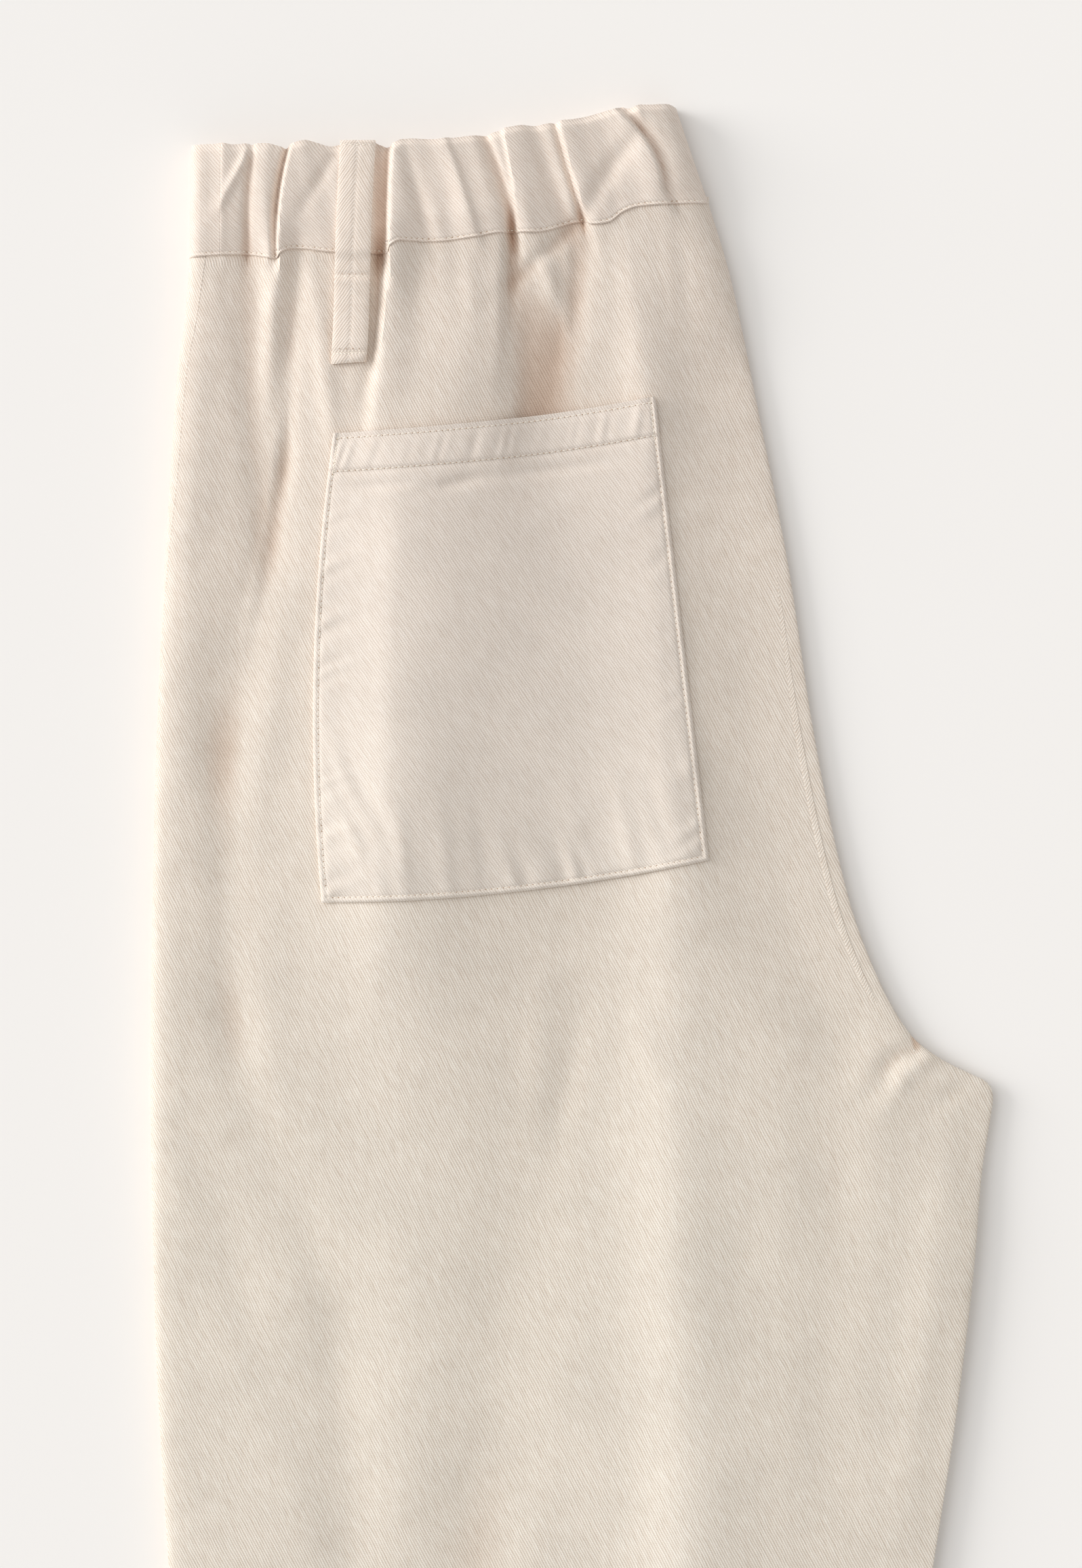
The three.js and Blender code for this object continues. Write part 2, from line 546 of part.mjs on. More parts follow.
// Height of a face, given as rows of points, at (x, y).
function heightOn(rows, x, y) {
  let highest = -Infinity;
  const test = (a, b, c) => {
    const area = (b[0] - a[0]) * (c[1] - a[1]) - (c[0] - a[0]) * (b[1] - a[1]);
    const u = ((x - a[0]) * (c[1] - a[1]) - (c[0] - a[0]) * (y - a[1])) / area;
    const v = ((b[0] - a[0]) * (y - a[1]) - (x - a[0]) * (b[1] - a[1])) / area;
    if (u < 0 || v < 0 || u + v > 1) return;
    highest = Math.max(highest, a[2] + u * (b[2] - a[2]) + v * (c[2] - a[2]));
  };
  for (let r = 0; r < rows.length - 1; r += 1) {
    for (let c = 0; c < rows[r].length - 1; c += 1) {
      test(rows[r][c], rows[r + 1][c], rows[r + 1][c + 1]);
      test(rows[r][c], rows[r + 1][c + 1], rows[r][c + 1]);
    }
  }
  return highest;
}


// Patch pocket, a grid between its four bowed edges, lying on the back panel's own points.
const pocket = {
  topLeft: [-91.4, 378.5],
  topRight: [31.6, 392.8],
  bottomLeft: [-96, 199.2],
  bottomRight: [52.3, 215.4],
  leftBow: -5.4, // the left edge bows out towards the outseam
  topBow: -2.2, // the mouth sags
  bottomBow: -4,
  lie: 0.35, // above the panel
  puff: 0.5, // the middle stands off a little more than the sewn edges
  mouthLift: 1.3, // the mouth stands a little open
};
function pocketPlace(across, down) {
  const edge = (i) =>
    lerp(
      lerp(pocket.topLeft[i], pocket.topRight[i], across),
      lerp(pocket.bottomLeft[i], pocket.bottomRight[i], across),
      down,
    );
  const bow = 4 * across * (1 - across);
  const x = edge(0) + pocket.leftBow * 4 * down * (1 - down) * (1 - across);
  return [x, edge(1) + bow * lerp(pocket.topBow, pocket.bottomBow, down)];
}

// Heights at which a sheet, given as a grid of places, lies on the panel: each cell of the grid is lifted
// until it clears the cloth under it.
function layOnPanel(places, clearance) {
  const z = places.map((row) => row.map(([x, y]) => heightOn(panelFace, x, y) + clearance));
  const within = [0.25, 0.5, 0.75];
  const mix = (grid, r, c, u, v) =>
    lerp(lerp(grid[r][c], grid[r][c + 1], u), lerp(grid[r + 1][c], grid[r + 1][c + 1], u), v);
  const [xs, ys] = [0, 1].map((i) => places.map((row) => row.map((place) => place[i])));
  for (let r = 0; r < places.length - 1; r += 1) {
    for (let c = 0; c < places[0].length - 1; c += 1) {
      for (const [u, v] of within.flatMap((i) => within.map((j) => [i, j]))) {
        const under = heightOn(panelFace, mix(xs, r, c, u, v), mix(ys, r, c, u, v)) + clearance;
        const short = Math.max(0, under - mix(z, r, c, u, v));
        z[r][c] += short;
        z[r][c + 1] += short;
        z[r + 1][c] += short;
        z[r + 1][c + 1] += short;
      }
    }
  }
  return z;
}

function backPocket() {
  const grid = evenly(0, 1, 15).map((down) => evenly(0, 1, 15).map((across) => [across, down]));
  const places = grid.map((row) => row.map(([across, down]) => pocketPlace(across, down)));
  const lying = layOnPanel(places, pocket.lie);
  const face = (lift) =>
    grid.map((row, r) =>
      row.map(([across, down], c) => {
        const inside = 4 * across * (1 - across);
        const puff = pocket.puff * Math.sqrt(inside) * smoothstep((1 - down) / 0.2);
        const mouth = pocket.mouthLift * smoothstep(1 - down / 0.3) * inside;
        return [...places[r][c], lying[r][c] + puff + mouth + lift];
      }),
    );
  return wall(face(CLOTH), face(0));
}

// Belt loop: a strap from the band's top edge to below the waist seam, bridging the gathers.
const loop = {
  topX: -82.3,
  topY: 489.4,
  bottomX: -85.6,
  bottomY: 405.8,
  width: 13.6,
  thickness: 2.2,
  lie: 0.35, // above the highest cloth under it
  edgeRound: 0.45,
};
function loopFace(lift) {
  const height = (x, y) => Math.max(heightOn(panelFace, x, y), heightOn(bandFace, x, y));
  return evenly(0, 1, 16).map((t) => {
    const x = lerp(loop.topX, loop.bottomX, t);
    const y = lerp(loop.topY, loop.bottomY, t);
    const under = evenly(-0.5, 0.5, 6).flatMap((s) =>
      [-2.6, 0, 2.6].map((dy) => height(x + s * loop.width, Math.max(y + dy, loop.bottomY))),
    );
    const z = Math.max(...under) + loop.lie;
    return evenly(-0.5, 0.5, 4).map((s) => {
      const round = lift > 0 ? loop.edgeRound * (2 * s) ** 4 : 0;
      return [x + s * loop.width, y, z + lift - round];
    });
  });
}

function finish(name, geometry, color) {
  const material = new THREE.MeshStandardMaterial({ color, roughness: 0.92, metalness: 0 });
  const mesh = new THREE.Mesh(geometry, material);
  mesh.name = name;
  return mesh;
}

const trousers = new THREE.Group();
trousers.add(
  finish("back_left", backLeft(), CREAM),
  finish("front_left", frontLeft(), CREAM),
  finish("hidden_leg_layers", legLayers(), CREAM_HIDDEN),
  finish("waistband_back_left", waistbandBackLeft(), CREAM_BAND),
  finish("waistband_front_left", waistbandFrontLeft(), CREAM_BAND),
  finish("hidden_waistband_layers", waistbandLayers(), CREAM_HIDDEN),
  finish("back_pocket", backPocket(), CREAM),
  finish("belt_loop", wall(loopFace(loop.thickness), loopFace(0)), CREAM_BAND),
);

export default trousers;
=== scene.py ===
import math
import bpy
import numpy as np
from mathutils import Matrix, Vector


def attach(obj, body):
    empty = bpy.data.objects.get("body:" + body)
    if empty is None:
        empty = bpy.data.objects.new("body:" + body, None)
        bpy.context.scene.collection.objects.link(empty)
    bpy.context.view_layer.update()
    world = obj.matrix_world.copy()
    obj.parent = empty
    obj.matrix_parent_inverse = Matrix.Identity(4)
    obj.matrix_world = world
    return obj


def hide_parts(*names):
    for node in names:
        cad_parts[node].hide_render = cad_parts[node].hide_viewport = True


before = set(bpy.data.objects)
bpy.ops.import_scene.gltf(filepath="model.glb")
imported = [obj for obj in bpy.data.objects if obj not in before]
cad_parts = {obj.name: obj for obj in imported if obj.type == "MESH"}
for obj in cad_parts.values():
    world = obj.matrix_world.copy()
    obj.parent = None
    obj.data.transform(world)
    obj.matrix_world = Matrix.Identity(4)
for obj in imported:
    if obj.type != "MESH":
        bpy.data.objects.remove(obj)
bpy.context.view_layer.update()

# LEFT BACK PANEL
# The back of the left leg, cut in one piece of cream cotton twill from the waist to the hem. It lies on top
# of the folded trousers, from the side seam over to the centre back seam and the inseam. Lengths here are
# in millimetres; X is across from the outseam fold, Y up to the waist, Z up from the floor.
MM = 0.001
CLOTH, GAP = 1.2, 0.3  # one ply with its nap, and the room between two pieces
HEM_Y, CROTCH_Y, SEAT_LEVEL_Y, WAIST_Y = -505.0, 127.0, 300.0, 445.7
HEM_TURN, UNDER_BAND = 20.0, 3.4  # how much is turned up, and how far the top reaches under the waistband


def table(names, *rows):
    """A short table: its columns by name."""
    return dict(zip(names.split(), np.array(rows, float).T))


def along(rows, key, value, at):
    """Smooth curve through a table's rows, with no overshoot between them."""
    order = np.argsort(rows[key])
    k, v = rows[key][order], rows[value][order]
    at = np.clip(at, k[0], k[-1])
    i = np.clip(np.searchsorted(k, at, side="right") - 1, 0, len(k) - 2)
    slope = np.diff(v) / np.diff(k)
    a, b = slope[:-1], slope[1:]
    with np.errstate(divide="ignore", invalid="ignore"):
        inner = np.where(a * b > 0, 2 * a * b / (a + b), 0.0)
    tangent = np.concatenate([slope[:1], inner, slope[-1:]])
    h = k[i + 1] - k[i]
    t = (at - k[i]) / h
    start = v[i] * (1 + 2 * t) + h * tangent[i] * t
    end = v[i + 1] * (3 - 2 * t) - h * tangent[i + 1] * (1 - t)
    return start * (1 - t) ** 2 + end * t * t


def smoothstep(t):
    t = np.clip(t, 0, 1)
    return t * t * (3 - 2 * t)


def mix(a, b, t):
    return a + (b - a) * t


QUARTER = math.pi / 2  # a quarter turn


def spread(start, end, count):
    """A row of evenly spaced values."""
    return np.linspace(start, end, count)[None, :]


# The outseam fold: where it lies, the height of the cloth on top, of the upper fold and of the parting
# between the legs, and how much of the front shows beside the side seam
outseam = table(
    "y left crown high parting strip",
    (446, -146.6, 14.2, 8.4, 5.6, 6.3),
    (420, -148.9, 13.6, 7.6, 5.1, 4.7),
    (405, -151.2, 13.2, 7.2, 4.9, 4.0),
    (360, -154.4, 12.6, 6.8, 4.6, 3.0),
    (328, -156.4, 12.3, 6.7, 4.5, 1.4),
    (300, -157.9, 12.1, 6.6, 4.5, 0.6),
    (230, -160.4, 11.6, 6.6, 4.4, 0.3),
    (130, -161.8, 11.0, 6.5, 4.4, 0.3),
    (40, -160.2, 10.4, 6.4, 4.3, 0.3),
    (-55, -155.0, 10.0, 6.4, 4.2, 0.3),
    (-200, -144.0, 9.6, 6.3, 4.2, 0.3),
    (-360, -131.0, 9.2, 6.2, 4.1, 0.3),
    (-505, -118.0, 8.8, 6.2, 4.1, 0.3),
)

# The centre back seam down to the crotch, then the inseam down to the hem
inseam = table(
    "y right",
    (467, 52.4), (440, 60.4), (389, 71.1), (327, 83.1), (264, 92.7), (202, 105.7), (171, 116.9),
    (148, 130.1), (139, 141.5), (133, 153.4), (130.5, 158.6), (127.5, 161.0), (123.5, 161.5), (119, 160.9),
    (93, 156.9), (62, 154.4), (0, 147.0), (-55, 138.5), (-200, 115.5), (-360, 90.0), (-505, 70.0),
)

# How far the waist seam rises from the outseam to the centre back
waist_rise = table(
    "across rise",
    (0, 0), (0.2, 2), (0.45, 6.2), (0.6, 9), (0.75, 13), (0.88, 18.6), (1, 21),
)

# Folds and gathers, each from (x0, y0) to (x1, y1). bow bends its middle towards the right of its way down.
# wide and steep are its reach to the left and to the right, start, mid and end its height, troughs below 0.
FOLD_COLUMNS = "x0 y0 x1 y1 bow wide steep start mid end"
gathers = table(
    FOLD_COLUMNS,
    (-143.6, 489, -143.8, 447, 0, 2.0, 3.2, 0.8, 1.1, 0.8),
    (-134, 489, -134.6, 447, 0, 0.7, 2.4, 0.6, 0.7, 0.4),
    (-122.6, 488.6, -133.8, 468, 0, 1.8, 1.6, 1.2, 1.5, 1.0),
    (-122.6, 489, -124.4, 449, -0.7, 1.7, 1.4, -2.2, -2.0, -1.5),
    (-117, 489, -118.5, 449, 0, 4, 3.4, 0.9, 1.1, 0.8),
    (-108.6, 489, -113.7, 447, -1.8, 1.4, 0.8, -2.6, -2.9, -2.4),
    (-106.6, 490, -111.9, 447, -1.8, 0.9, 10, 1.8, 2.1, 1.8),
    (-89.6, 487, -101.8, 467, 0, 2.6, 2.4, -0.7, -1.0, -0.5),
    (-73.8, 488, -74.6, 447, 0, 2.2, 1.8, -2.5, -2.7, -2.3),
    (-70.6, 490, -71.6, 446, -0.5, 1.7, 1.1, -2.9, -3.3, -2.8),
    (-68, 490, -70, 448, -0.9, 0.8, 9, 2.4, 2.6, 2.6),
    (-62.8, 482, -55, 454, 0, 3, 2.6, -0.9, -1.3, -1.0),
    (-48.8, 491, -37.2, 456, 0.6, 3.6, 1.2, 0.9, 1.3, 1.2),
    (-33.4, 492, -22.4, 456, 1.2, 3.2, 1.3, -2.1, -2.5, -2.3),
    (-26.2, 494, -21, 456, 0.9, 0.9, 11, 1.8, 2.2, 2.2),
    (-15, 496, -3, 461, 0, 4.2, 3, -1.2, -1.6, -1.4),
    (-7, 497, 4.4, 459.5, -0.3, 1.3, 0.8, -1.2, -1.6, -1.8),
    (-5.2, 498, 6, 460, -0.3, 0.8, 7, 1.4, 1.8, 1.9),
    (22.8, 490.4, 4.8, 463, -1.2, 3.6, 3.4, -0.9, -1.5, -0.9),
    (17, 502, 33.8, 472, 3.6, 7, 1.2, 1.2, 1.7, 1.6),
    (18.4, 502.6, 36, 472, 3.8, 0.9, 2.8, -1.9, -2.9, -1.9),
    (24.3, 503.5, 30, 491, 0, 1.4, 1.6, 0.8, 0.8, 0.3),
    (35, 503, 45, 480, 0, 3, 3.4, 0.8, 0.8, 0.4),
)
folds = table(
    FOLD_COLUMNS,
    (-142, 441, -150, 250, 0, 7, 9, 0.5, 0.6, 0.3),
    (-124, 444, -117, 337, -2, 6, 8, -1.9, -1.8, -1.2),
    (-117, 337, -134, 256, 0, 11, 8, -1.2, -1.2, -1.2),
    (-134, 256, -130, 155, 0, 8, 10, -1.6, -1.4, -1.2),
    (-130, 155, -92, 52, -3, 10, 10, -1.0, -0.8, -0.5),
    (-90, 60, -84, -56, 0, 11, 12, -0.3, -1.0, -0.5),
    (-84, -56, -60, -260, 0, 12, 12, -0.6, -0.9, -0.4),
    (-114.6, 446, -116.6, 398, 0, 3.2, 3.4, 1.9, 2.0, 0.9),
    (-105.4, 446, -110.8, 366, -0.5, 3.2, 3.2, -2.0, -2.0, -1.4),
    (-110.8, 366, -122, 310, 0, 4, 4, -1.2, -0.7, -0.2),
    (-109.4, 399, -124.6, 304, 1, 1.9, 1.9, 0.7, 0.9, 0.4),
    (-98, 430, -92.6, 384, 0, 3.6, 4.4, 1.0, 1.8, 1.4),
    (-73.4, 446, -79, 394, 1, 3.2, 1.4, -2.8, -2.6, -1.2),
    (-70.4, 449, -76, 388, 1, 1.5, 9, 2.6, 2.4, 1.6),
    (-58.6, 451, -60, 425, 0, 6, 5, -1.0, -1.2, -0.4),
    (-38, 449, -42, 400, 0, 9, 7, 0.6, 1.2, 0.8),
    (-26.6, 455, -30, 400, 1, 7, 2.4, 1.0, 1.4, 0.6),
    (-23.4, 456, -24.6, 428, 0, 2.0, 2.8, -2.1, -2.4, -1.5),
    (-2.5, 455.3, -21.2, 438, 0, 3, 3, -1.2, -1.5, -1.0),
    (-18, 436, -16, 383, 1, 8.5, 19, -2.0, -3.4, -3.8),
    (3, 447, -6, 400, 0, 6, 6, -1.8, -1.9, -0.8),
    (-10, 442, -4.5, 427, 0, 4, 3, 1.6, 1.9, 1.2),
    (-1.7, 452, -2.5, 405, 0, 1.8, 1.8, 0.5, 0.7, 0.3),
    (24, 455, 29, 392, 0, 9, 12, 1.6, 2.0, 1.9),
    (29, 392, 38, 220, 0, 9, 14, 1.7, 0.9, 1.7),
    (38, 220, 44, -56, 0, 16, 20, 1.8, 3.6, 2.5),
    (44, -56, 0, -390, 0, 23, 23, 2.0, 1.8, 0.6),
    (-64, 392, -70, 220, 0, 15, 32, 1.6, 4.2, 3.4),
    (-68, 220, -58, 0, 0, 20, 24, 1.4, 1.2, 0.8),
    (102, 194, 96, -14, 0, 13, 13, -0.4, -1.4, -0.8),
    (-8, 155, -38, -56, 0, 18, 18, -0.6, -1.3, -1.0),
    (-38, -56, -52, -320, 4, 18, 18, -1.0, -1.2, -0.5),
    (-118, -150, -44, -196, -5, 9, 9, 0, -1.0, 0),
    (106, -140, 38, -212, 5, 9, 9, 0, -1.1, 0),
    (-96, -236, -84, -430, 3, 11, 11, 0.3, 1.1, 0.3),
    (131, 147, 130, 137, 1.6, 1.4, 2.0, -3.0, -2.6, -0.8),
    (138, 141.5, 124, 125, -2.5, 3.0, 3.6, 1.6, 1.8, 0.5),
    (130, 143, 117, 129, -2, 3.6, 3.6, -1.4, -1.9, -0.6),
    (150, 128, 140, 121, 0, 4.0, 3.0, -0.5, -0.7, -0.3),
    (144, 103, 126, -40, 0, 8, 8, 0.6, 1.0, 0.6),
    (-12, 158, -15, 118, 0, 6, 6, 0.4, 0.7, 0.3),
    (3, 155, -6, 110, 0, 5, 5, -0.3, -0.7, -0.3),
    (24, 160, 34, 128, 0, 6, 6, 0.3, 0.5, 0.2),
    (-112, 300, -120, 236, 0, 6, 6, 0.3, 0.6, 0.3),
    (-128, 188, -112, 96, 2, 9, 9, 0.3, 0.6, 0.3),
    (-140, 92, -120, 20, 2, 8, 8, -0.2, -0.5, -0.2),
    (-132, 30, -98, -60, 3, 9, 9, 0.2, 0.6, 0.2),
    (-101, 70, -86, -20, 2, 7, 7, -0.2, -0.4, -0.2),
    (66, 150, 88, 60, -3, 12, 12, 0.2, 0.5, 0.2),
)


def fold_heights(rows, x, y):
    """What the folds of a table add to the cloth's height at (x, y)."""
    total = np.zeros(np.broadcast(x, y).shape)
    for x0, y0, x1, y1, bow, wide, steep, start, middle, end in zip(*(rows[n] for n in FOLD_COLUMNS.split())):
        dx, dy = x1 - x0, y1 - y0
        length = math.hypot(dx, dy)
        run = ((x - x0) * dx + (y - y0) * dy) / length
        t = np.clip(run / length, 0, 1)
        past = run - t * length
        hump = 4 * t * (1 - t)
        side = ((x - x0) * -dy + (y - y0) * dx) / length - bow * hump
        width = np.where(side < 0, wide, steep)
        height = mix(start, end, t) + (middle - (start + end) / 2) * hump
        reach = wide + steep + 4
        total += height * np.exp(-((side / width) ** 2) - (past / reach) ** 2)
    return total


def unevenness(x, y, across, down, seed):
    """Soft random swelling between -1 and 1, about across by down millimetres in size."""
    dice = np.random.default_rng(seed).uniform(-1, 1, (64, 64))
    u, v = (x + 300) / across, (y + 700) / down
    i, j = np.floor(u).astype(int), np.floor(v).astype(int)
    s, t = smoothstep(u - i), smoothstep(v - j)
    value = lambda a, b: dice[(i + a) % 64, (j + b) % 64]
    return mix(mix(value(0, 0), value(1, 0), s), mix(value(0, 1), value(1, 1), s), t)


def ripple(run, pitch, seed):
    """Uneven puckers along a seam: run is the length along it, pitch their usual spacing."""
    t = run / pitch + 0.35 * np.sin(run / pitch * 1.7 + seed) + 0.2 * np.sin(run / pitch * 4.1 + 2 * seed)
    return np.sin(2 * math.pi * t) * (0.6 + 0.4 * np.sin(run / pitch * 0.9 + 3 * seed))


def creases(x, y):
    return fold_heights(folds, x, y) + fold_heights(gathers, x, y)


def relief(x, y):
    """Height of the laid cloth over its smooth crown: folds, gathers and the unevenness of washed twill."""
    soft = 0.38 * unevenness(x, y, 34, 70, 3) + 0.15 * unevenness(x, y, 13, 24, 5)
    left = along(outseam, "y", "left", y)
    right = along(inseam, "y", "right", y)
    # Puckers along the side seam
    beside_seam = np.exp(-((x - left - 11) / 6) ** 2) * smoothstep((WAIST_Y - 4 - y) / 20)
    soft += 0.3 * beside_seam * ripple(y + 0.3 * x, 19, 6.0)
    # The leg falls towards its inner edge and the seat more so, and the seat swells under the pocket
    laid = smoothstep((y - HEM_Y) / 160) * (1 - 0.65 * smoothstep((y - 390) / 50))
    soft += laid * (0.8 - 3.7 * smoothstep((x - right + 64) / 60))
    seat = laid * smoothstep((y - 60) / 90)
    soft += seat * (1.3 - 3.4 * smoothstep((x + 62) / 80) - 1.8 * smoothstep((x - right + 60) / 56))
    swell = laid * smoothstep((y - 120) / 140)
    soft += swell * 4.2 * (smoothstep((x + 120) / 58) - smoothstep((x + 58) / 78))
    # Small pleats that run down from the gathered waist
    soft += 0.3 * smoothstep((y - 385) / 50) * unevenness(x + 0.12 * y, y, 5.5, 60, 13)
    crotch = np.exp(-((y - CROTCH_Y - 10) / 26) ** 2 - ((x - 130) / 30) ** 2)
    h = creases(x, y) + soft * (1 - 0.5 * crotch)
    # The stitched groove of the hem and the thicker turn below it
    h -= 0.3 * np.exp(-((y - HEM_Y - HEM_TURN) / 1.2) ** 2) - 0.4 * smoothstep((HEM_Y + HEM_TURN - y) / 1.5)
    # No crease reaches the layers below
    deepest, ease = mix(3.8, 5.2, smoothstep((y - 60) / 300)), 1.4
    return np.where(h < -deepest, -deepest + ease * np.tanh((h + deepest) / ease), h)


# The line the waistband is sewn along, with the small steps its gathers make
waist_seam = table(
    "x y",
    (-146.8, 446.0), (-126.2, 447.0), (-113.4, 445.4), (-111.6, 447.6), (-107.0, 449.2), (-92.2, 447.8),
    (-76.3, 447.3), (-71.0, 447.3), (-69.8, 450.0), (-65.6, 452.0), (-53.2, 451.7), (-37.6, 453.5),
    (-27.2, 455.3), (-13.9, 455.5), (4.3, 459.6), (7.7, 458.6), (13.7, 459.4), (19.4, 463.4), (24.3, 465.3),
    (36.0, 466.4), (52.2, 467.2),
)


def panel_relief(x, y):
    """The panel's relief, with its top edge turned in under the waistband."""
    seam = along(waist_seam, "x", "y", x)
    return relief(x, y) - 1.3 * smoothstep((y - seam + GAP) / 1.6)


BAND_ROLL_LEFT, BAND_ROLL_RIGHT = 14.0, 13.0
LEFT_ROUND = 0.4  # below 1 the outseam edge stands fuller than a quarter round


def leg_rows(y):
    """What a cross section of the legs and seat needs, for rows that start at heights y on the outseam."""
    y = np.asarray(y, float)[:, None]
    fade = smoothstep((y - SEAT_LEVEL_Y) / (WAIST_Y - SEAT_LEVEL_Y))
    legs = smoothstep((CROTCH_Y + 2 - y) / 60)
    waist = smoothstep((y - 380) / (WAIST_Y - 380))
    rows = {name: along(outseam, "y", name, y) for name in ("left", "crown", "high", "parting", "strip")}
    rows.update(
        y=y, fade=fade, legs=legs,
        right=along(inseam, "y", "right", y + fade * waist_rise["rise"][-1]),
        roll_left=mix(11, BAND_ROLL_LEFT, waist),
        roll_right=mix(mix(20, 9, legs), BAND_ROLL_RIGHT, waist),
        right_seam=mix(4.6, 6.3, legs), right_parting=mix(3.7, 4.2, legs), right_dip=mix(0.7, 5, legs),
    )
    return rows


def y_at(rows, x):
    """A row is level in the legs and follows the rise of the waist above them."""
    across = np.clip((x - rows["left"]) / (rows["right"] - rows["left"]), 0, 1)
    return rows["y"] + rows["fade"] * along(waist_rise, "across", "rise", across)


def seam_angle(rows):
    """Where on the roll of the outseam edge the side seam lies."""
    return np.maximum(0.21, np.arccos(1 - rows["strip"] / rows["roll_left"]))


def left_roll(rows, angle):
    """Points on the roll of the outseam edge: angle 0 at the fold, a quarter turn on top."""
    x = rows["left"] + rows["roll_left"] - rows["roll_left"] * np.cos(angle)
    y = y_at(rows, x)
    full = rows["crown"] + panel_relief(x, y)
    return np.stack([x, y, rows["high"] + (full - rows["high"]) * np.sin(angle) ** LEFT_ROUND], -1)


def right_roll(rows, angle):
    """The same at the centre back fold and the inseam."""
    x = rows["right"] - rows["roll_right"] + rows["roll_right"] * np.cos(angle)
    y = y_at(rows, x)
    full = rows["crown"] + panel_relief(x, y)
    return np.stack([x, y, rows["right_seam"] + (full - rows["right_seam"]) * np.sin(angle)], -1)


def middle(rows, count):
    start, end = rows["left"] + rows["roll_left"], rows["right"] - rows["roll_right"]
    x = mix(start, end, spread(0, 1, count)[:, 1:-1])
    y = y_at(rows, x)
    return np.stack([x, y, rows["crown"] + panel_relief(x, y)], -1)


# Painted shade: the material paints the hollows of the creases darker and warmer and the ridges lighter, in
# full from this depth
PAINTED_SHADE_DEPTH = 5.0  # a hollow this deep takes its full tint


def sew(name, points, thickness, anchor=0.5, mirrored=False, creased=False):
    """A sheet of cloth through rows of points, hem to waist, its outer face to the right of the way up. Its
    weave is true at the share anchor of its width; creased marks a sheet that takes the gathers and folds,
    and stores their depth for painted shade in its hollows and a painted highlight on its ridges."""
    count, width = points.shape[:2]
    bpy.ops.object.select_all(action="DESELECT")
    bpy.ops.mesh.primitive_grid_add(x_subdivisions=width - 1, y_subdivisions=count - 1, size=2)
    piece = bpy.context.object
    piece.name = piece.data.name = name
    mesh = piece.data
    start = np.empty(3 * len(mesh.vertices))
    mesh.vertices.foreach_get("co", start)
    start = start.reshape(-1, 3)
    column = np.rint((start[:, 0] + 1) / 2 * (width - 1)).astype(int)
    row = np.rint((start[:, 1] + 1) / 2 * (count - 1)).astype(int)
    mesh.vertices.foreach_set("co", (points[row, column] * MM).ravel())
    hollow = -creases(points[..., 0], points[..., 1]) if creased else np.zeros((count, width))
    # The width that the weave follows is measured with the creases taken out, since they don't shear it
    smooth = points + np.stack([0 * hollow, 0 * hollow, hollow], -1)
    step = np.linalg.norm(np.diff(smooth, axis=1), axis=2)
    run = np.concatenate([np.zeros((count, 1)), np.cumsum(step, axis=1)], axis=1)
    here = int(anchor * (width - 1))
    u = run - run[:, here:here + 1] + points[:, here:here + 1, 0]
    if mirrored:
        u = np.abs(u - u.mean(axis=1, keepdims=True))
    flat = np.stack([u, points[:, :, 1]], -1)[row, column] * MM
    # Painted shade: the crease depth as a share, for the material to paint hollows darker and ridges lighter
    painted_shade = np.clip(hollow / PAINTED_SHADE_DEPTH, -1, 1)[row, column]
    mesh.attributes.new("hollow", "FLOAT", "POINT").data.foreach_set("value", painted_shade)
    corner = np.empty(len(mesh.loops), int)
    mesh.loops.foreach_get("vertex_index", corner)
    mesh.uv_layers.active.data.foreach_set("uv", flat[corner].ravel())
    solidify = piece.modifiers.new("ply", "SOLIDIFY")
    solidify.thickness, solidify.offset, solidify.use_even_offset = thickness * MM, -1, False
    bpy.ops.object.modifier_apply(modifier="ply")
    bpy.ops.object.shade_smooth_by_angle(angle=math.radians(50))
    return piece


def back_face(rows):
    """From the side seam over the flat and round the centre back fold or to the inseam."""
    return np.concatenate([
        left_roll(rows, mix(seam_angle(rows) + 0.004, QUARTER, spread(0, 1, 7))),
        middle(rows, 108),
        right_roll(rows, spread(1, 0, 11) * QUARTER),
    ], axis=1)


leg_y = np.concatenate([
    HEM_Y + np.array([0, 10, 18, 19, 20, 21, 22.5]), np.linspace(HEM_Y + 28, -75, 60)[:-1],
    np.linspace(-75, 100, 64)[:-1], np.linspace(100, 150, 38)[:-1], np.linspace(150, 425, 96)[:-1],
    np.linspace(425, WAIST_Y + UNDER_BAND, 26),
])
back_left = sew("back_left_cloth", back_face(leg_rows(leg_y)), CLOTH, creased=True)


def colour(r, g, b):
    """Scene-linear colour of a display colour given from 0 to 255."""
    return tuple(((c / 255 + 0.055) / 1.055) ** 2.4 if c > 10 else c / 255 / 12.92 for c in (r, g, b)) + (1,)


def set_values(node, **values):
    """Give a shader node its values: a socket's by the socket's name, any other as a setting of the node."""
    for name, value in values.items():
        socket = name.replace("_", " ")
        if socket in node.inputs:
            node.inputs[socket].default_value = value
        else:
            setattr(node, name, value)
    return node


def add_node(tree, kind, **values):
    return set_values(tree.nodes.new("ShaderNode" + kind), **values)


WALE, CROSSING = 0.00095, 0.00078  # metres from rib to rib, and from one crossing of the yarns to the next


